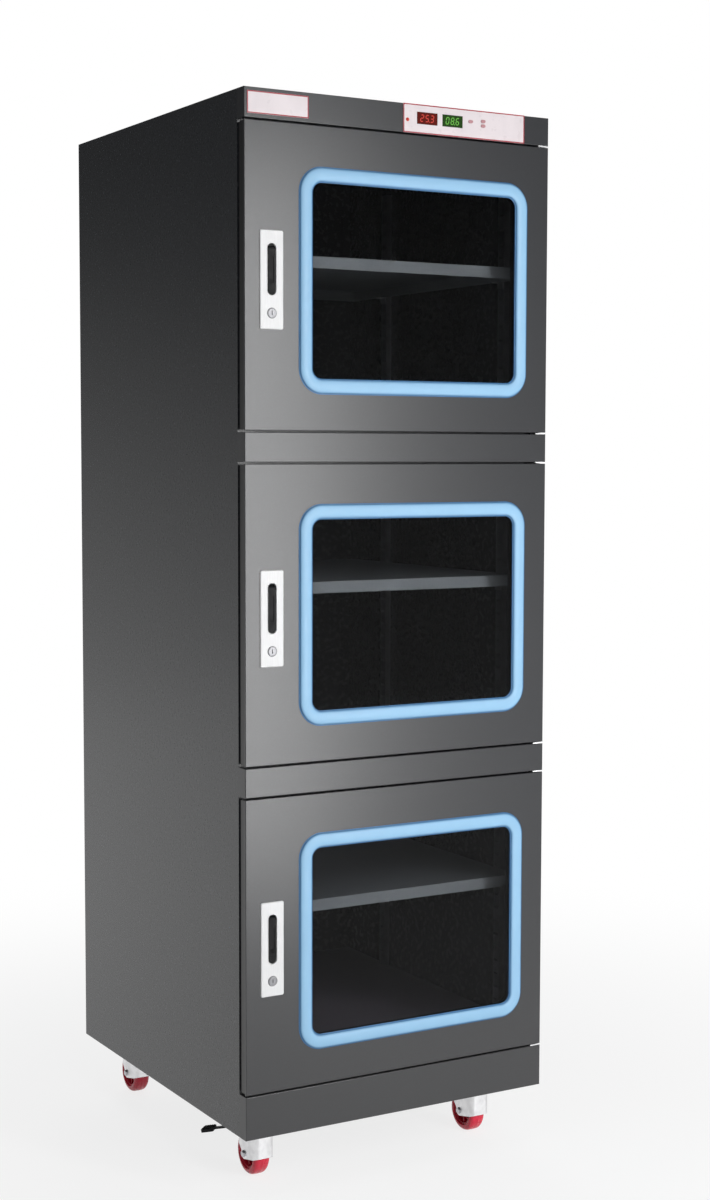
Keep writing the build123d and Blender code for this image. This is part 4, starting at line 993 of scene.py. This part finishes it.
class Casters(CabinetOperator, Operator):
    """Makes each caster's fork, tyre, ribbed hub, bearing caps and axle nuts, and the brake pads' ridges"""

    bl_idname = "drying_cabinet.casters"
    bl_label = "Make the caster details"

    bore_r, boss_half = 4.05, 15.0
    fork_half, sheet, race_height, bolt_r = 19.0, 2.0, 5.0, 4.0
    hood_front, hood_rear, front_edge = -16.0, 50.0, 38.5
    nearly = 0.9999

    def build(self):
        for caster in CASTERS:
            _, size, centre = span(f"{caster}_wheel")
            hub_r = size.z / 2 - sizes().tyre_depth / MM
            self.fork(caster, centre)
            self.tyre(caster, centre, hub_r)
            self.hub(caster, centre, hub_r)
            self.bearing_caps(caster, centre)
            self.axle_nuts(caster, centre)
        for caster in CASTERS[:2]:
            self.pad_grip(caster)

    def fork(self, caster, centre):
        """A pressed fork: its hood and legs, the ball race's cup over them and the axle bolt."""
        node = f"{caster}_fork"
        x, y, _ = joint_place(f"{caster}_swivel")
        top, half, bolt_r = box_mm(node)[1].z, self.fork_half, self.bolt_r
        trail, axle = centre.y - y, centre.z
        bolt = lathe("axle", [(0, -half), (bolt_r, -half), (bolt_r, half), (0, half)], 20)
        bolt = move(bolt, (0.0, trail, axle), AXIS_X)
        parts = [self.hood(trail, axle, top - self.race_height), self.race_cup(top), bolt]
        mesh = tidy(move(join(parts), (x, y, 0.0)))
        piece(f"{caster}_pressed_fork", mesh, "plated_steel", node, (node,))

    def hood(self, trail, axle, top):
        """A round-cornered hood whose two legs sweep back and down to the axle."""
        half, sheet, front, rear = self.fork_half, self.sheet, self.hood_front, self.hood_rear
        boss_r, corner_r, past = 9.5, 9.0, 10.0
        boss = arc((trail, axle), boss_r, 250.0, 380.0, 10)
        side = [(front, top), (front, self.front_edge), (front + 9.0, self.front_edge - 3.0), *boss]
        side += [(trail + 19.0, 52.0), (trail + 10.0, top)]
        slab = prism("side", side, -half - past, half + past)
        slab.transform(SIDE_VIEW)
        outer = prism("outer", hood_plan(half, front, rear, corner_r), 0.0, top + past)
        plan = hood_plan(half - sheet, front + sheet, rear + past, corner_r - sheet)
        inner = prism("inner", plan, -past, top - sheet)
        return cut(tidy(slab), ("INTERSECT", tidy(outer)), ("DIFFERENCE", tidy(inner)))

    def race_cup(self, top):
        """The rolled cup of the ball race, over the hood."""
        low = top - self.race_height
        rolled = [(21.0, low - 0.2), (23.4, low + 1.2), (23.9, low + 2.6), (22.6, top - 0.6), (21.0, top)]
        return lathe("crown", [(0, low - 0.2), *rolled, (0, top)], 40)

    def round_sweep(self, section, radius, centre, steps, turn=AXIS_X):
        """A section swept round a circle about the wheel's axle."""
        mesh = swept(section, 2 * radius, 2 * radius, radius * self.nearly, steps)
        return move(mesh, centre, turn)

    def tyre(self, caster, centre, hub_r):
        section = tyre_section(sizes().tyre_depth / MM)
        mesh = tidy(self.round_sweep(section, hub_r, centre, 16), 50.0)
        node = f"{caster}_wheel"
        piece(f"{caster}_tyre", mesh, "red_tyre", node, (node,))

    def hub(self, caster, centre, hub_r):
        meshes = [self.round_sweep(hub_section(hub_r, self.bore_r), self.bore_r, centre, 12)]
        root, tip, thin, thick, foot, crest = 8.4, hub_r - 4.2, 0.8, 1.1, 3.2, 9.0
        for side in (-1, 1):
            rib = prism("rib", [(root, -thin), (tip, -thick), (tip, thick), (root, thin)], foot, crest)
            copies = grown_mesh(rib, ring_of_copies_tree(), Count=sizes().hub_ribs)
            meshes.append(move(copies, centre, turned(90 * side, "Y")))
        piece(f"{caster}_hub", tidy(join(meshes), 40.0), "hub", f"{caster}_wheel")

    def bearing_caps(self, caster, centre):
        """A dark shield in each face of the boss."""
        section = [(0.3, -1.0), (3.9, -1.0), (3.9, 0.25), (3.2, 0.4), (1.4, 0.1), (0.7, 0.35), (0.3, 0.2)]
        caps = []
        for side in (-1, 1):
            place = (centre.x + side * self.boss_half, centre.y, centre.z)
            caps.append(self.round_sweep(section, self.bore_r, place, 8, turned(90 * side, "Y")))
        piece(f"{caster}_bearing_caps", tidy(join(caps), 40.0), "black_plastic", f"{caster}_wheel")

    def axle_nuts(self, caster, centre):
        face = self.fork_half - 0.1
        nuts = []
        for side in (-1, 1):
            nut = hex_head(across=10.0, height=3.0, washer=6.2)
            nuts.append(move(nut, (centre.x + side * face, centre.y, centre.z), turned(90 * side, "Y")))
        piece(f"{caster}_axle_nuts", join(nuts), "screw", f"{caster}_fork")

    def pad_grip(self, caster):
        """The moulded grip over the pedal's tip, with ridges across its tread."""
        node = f"{caster}_brake_pedal"
        x, y, z = joint_place(f"{caster}_brake_press")
        # The pedal's bend and tip in the part, from its pin
        bend, tip = Vector((0.0, 26.0, -4.0)), Vector((-52.0, 78.0, -19.0))
        along = (tip - bend).normalized()
        across = Vector((-along.y, along.x, 0.0)).normalized()
        turn = Matrix((along, across, along.cross(across))).transposed().to_4x4()
        half_l, half_w, half_t, round_r = 11.5, 12.0, 2.6, 3.5
        plan = []
        for quarter, (a, b) in enumerate(((1, 1), (-1, 1), (-1, -1), (1, -1))):
            middle = (a * (half_l - round_r), b * (half_w - round_r))
            plan += arc(middle, round_r, 90 * quarter, 90 * quarter + 90, 5)
        ridge_pitch, ridge_half, reach, foot, crest = 4.0, 1.0, 10.0, 2.2, 3.6
        stripes = [rectangle(ridge_half, reach, ridge_pitch * i) for i in range(-2, 3)]
        ridges = [prism("ridge", stripe, foot, crest) for stripe in stripes]
        grip = tidy(join([prism("grip", plan, -half_t, half_t), *ridges]), 30.0)
        move(grip, (x + tip.x, y + tip.y, z + tip.z), turn)
        piece(f"{caster}_pedal_grip", grip, "black_plastic", node)


class Stage(CabinetOperator, Operator):
    """Sets the pale floor, the soft studio lamps, the white background and the camera"""

    bl_idname = "drying_cabinet.stage"
    bl_label = "Set the stage"

    lens = 58.308
    sensor = 36.0
    camera_mm = (-1737.17, -3185.02, 1257.24)
    yaw, pitch, roll = math.radians(30.13), -0.07579, 0.00204
    # Each lamp's name, its place and aim in millimetres, its size in metres and the radiance of its face
    lamps = (
        ("key", (690.0, -2350.0, 1075.0), (-100.0, -350.0, 1050.0), (0.36, 2.06), 16.5),
        ("fill", (100.0, -4200.0, 2900.0), (0.0, -350.0, 900.0), (2.4, 1.6), 1.6),
        ("overhead", (-200.0, -300.0, 4200.0), (0.0, 0.0, 0.0), (2.4, 2.4), 1.6),
        ("back", (1500.0, 3000.0, 1900.0), (0.0, 350.0, 900.0), (1.6, 2.2), 3.0),
    )

    def build(self):
        scene = bpy.context.scene
        scene.view_settings.view_transform = "Standard"
        self.camera(scene)
        self.world(scene)
        self.floor()
        for lamp in self.lamps:
            self.lamp(*lamp)

    def camera(self, scene):
        data = bpy.data.cameras.new("camera")
        data.lens, data.sensor_width, data.sensor_fit = self.lens, self.sensor, "AUTO"
        data.clip_start, data.clip_end = 0.1, 60.0
        scene.camera = object_of("camera", data)
        turn = Matrix.Rotation(-self.yaw, 4, "Z")
        turn @= Matrix.Rotation(math.pi / 2 + self.pitch, 4, "X")
        turn @= Matrix.Rotation(self.roll, 4, "Z")
        scene.camera.matrix_world = Matrix.Translation(Vector(self.camera_mm) * MM) @ turn

    def world(self, scene):
        """Soft grey light all round, a white background, and for gloss a low sky that darkens upwards."""
        scene.world = bpy.data.worlds.new("studio")
        scene.world.use_nodes = True
        tree = scene.world.node_tree
        tree.nodes.clear()

        def background(rgb, strength):
            return grow(tree, "ShaderNodeBackground", {"Color": (*rgb, 1.0), "Strength": strength})

        def blend(factor, first, second):
            return grow(tree, "ShaderNodeMixShader", {0: factor, 1: first, 2: second})

        path = new_node(tree, "ShaderNodeLightPath").outputs
        direction = new_node(tree, "ShaderNodeTexCoord").outputs["Generated"]
        height = new_node(tree, "ShaderNodeSeparateXYZ", {0: direction}).outputs["Z"]
        fall = {"Value": height, "From Min": -0.17, "From Max": 0.12, "To Min": 0.9, "To Max": 0.06}
        sky = background((1.0, 1.0, 1.0), grow(tree, "ShaderNodeMapRange", fall))
        light = blend(path["Is Glossy Ray"], background((0.96, 0.98, 1.0), 0.23), sky)
        rays = {0: path["Is Camera Ray"], 1: path["Is Transmission Ray"]}
        seen = grow(tree, "ShaderNodeMath", rays, operation="MAXIMUM")
        last = blend(seen, light, background((1.0, 1.0, 1.0), 1.0))
        new_node(tree, "ShaderNodeOutputWorld", {"Surface": last})

    def floor(self):
        """A pale floor that keeps the cabinet's shadow and melts into the white background."""
        half = 6000.0
        mesh = mesh_of("floor", [(x, y, 0.0) for x, y in rectangle(half, half)], [(0, 1, 2, 3)])
        pale = Finish("Pale floor", (0.86, 0.86, 0.86), 0.9)
        pale.tint(pale.noise(0.5, 3.0), 0.4, 0.7, 0.2, (0.82, 0.82, 0.82))
        glow = pale.add("ShaderNodeEmission", {"Color": (1.0, 1.0, 1.0, 1.0), "Strength": 1.0})
        reach = pale.add("ShaderNodeVectorMath", {0: pale.where}, operation="LENGTH").outputs["Value"]
        path = pale.add("ShaderNodeLightPath").outputs
        rays = {0: path["Is Camera Ray"], 1: path["Is Glossy Ray"]}
        seen = pale.add("ShaderNodeMath", rays, operation="MAXIMUM").outputs[0]
        shares = {0: seen, 1: pale.ramp(reach, 0.5, 2.2, 0.80, 1.0)}
        factor = pale.add("ShaderNodeMath", shares, operation="MULTIPLY").outputs[0]
        pale.end_with(factor, pale.shader, glow)
        mesh.materials.append(pale.material)
        object_of("floor", mesh)

    def lamp(self, name, place_mm, aim_mm, size, radiance):
        """A rectangular soft lamp of a given brightness of its face."""
        data = bpy.data.lights.new(name, "AREA")
        data.shape = "RECTANGLE"
        data.size, data.size_y = size
        data.energy = radiance * math.pi * size[0] * size[1]
        place, aim = Vector(place_mm) * MM, Vector(aim_mm) * MM
        turn = (aim - place).to_track_quat("-Z", "Y").to_matrix().to_4x4()
        object_of(name, data).matrix_world = Matrix.Translation(place) @ turn


OPERATORS = (SheetMetal, WindowRubbers, DoorSeals, HandleDetails, DisplayPanel, Fasteners, Casters, Stage)


class CabinetPanel(Panel):
    """Lists the cabinet's pieces and its sizes and colours"""

    bl_idname = "VIEW3D_PT_drying_cabinet"
    bl_label = "Drying Cabinet"
    bl_space_type = "VIEW_3D"
    bl_region_type = "UI"
    bl_category = "Cabinet"

    def draw(self, context):
        for operator in OPERATORS:
            self.layout.operator(operator.bl_idname)
        settings = context.scene.drying_cabinet
        for group in (settings.sizes, settings.colours):
            for key in group.__annotations__:
                self.layout.prop(group, key)


CLASSES = (CabinetSizes, CabinetColours, CabinetSettings, *OPERATORS, CabinetPanel)


def register():
    for cls in CLASSES:
        bpy.utils.register_class(cls)
    bpy.types.Scene.drying_cabinet = PointerProperty(type=CabinetSettings)


def unregister():
    del bpy.types.Scene.drying_cabinet
    for cls in reversed(CLASSES):
        bpy.utils.unregister_class(cls)


def main():
    register()
    for operator in OPERATORS:
        group, name = operator.bl_idname.split(".")
        getattr(getattr(bpy.ops, group), name)()


if __name__ == "__main__":
    main()
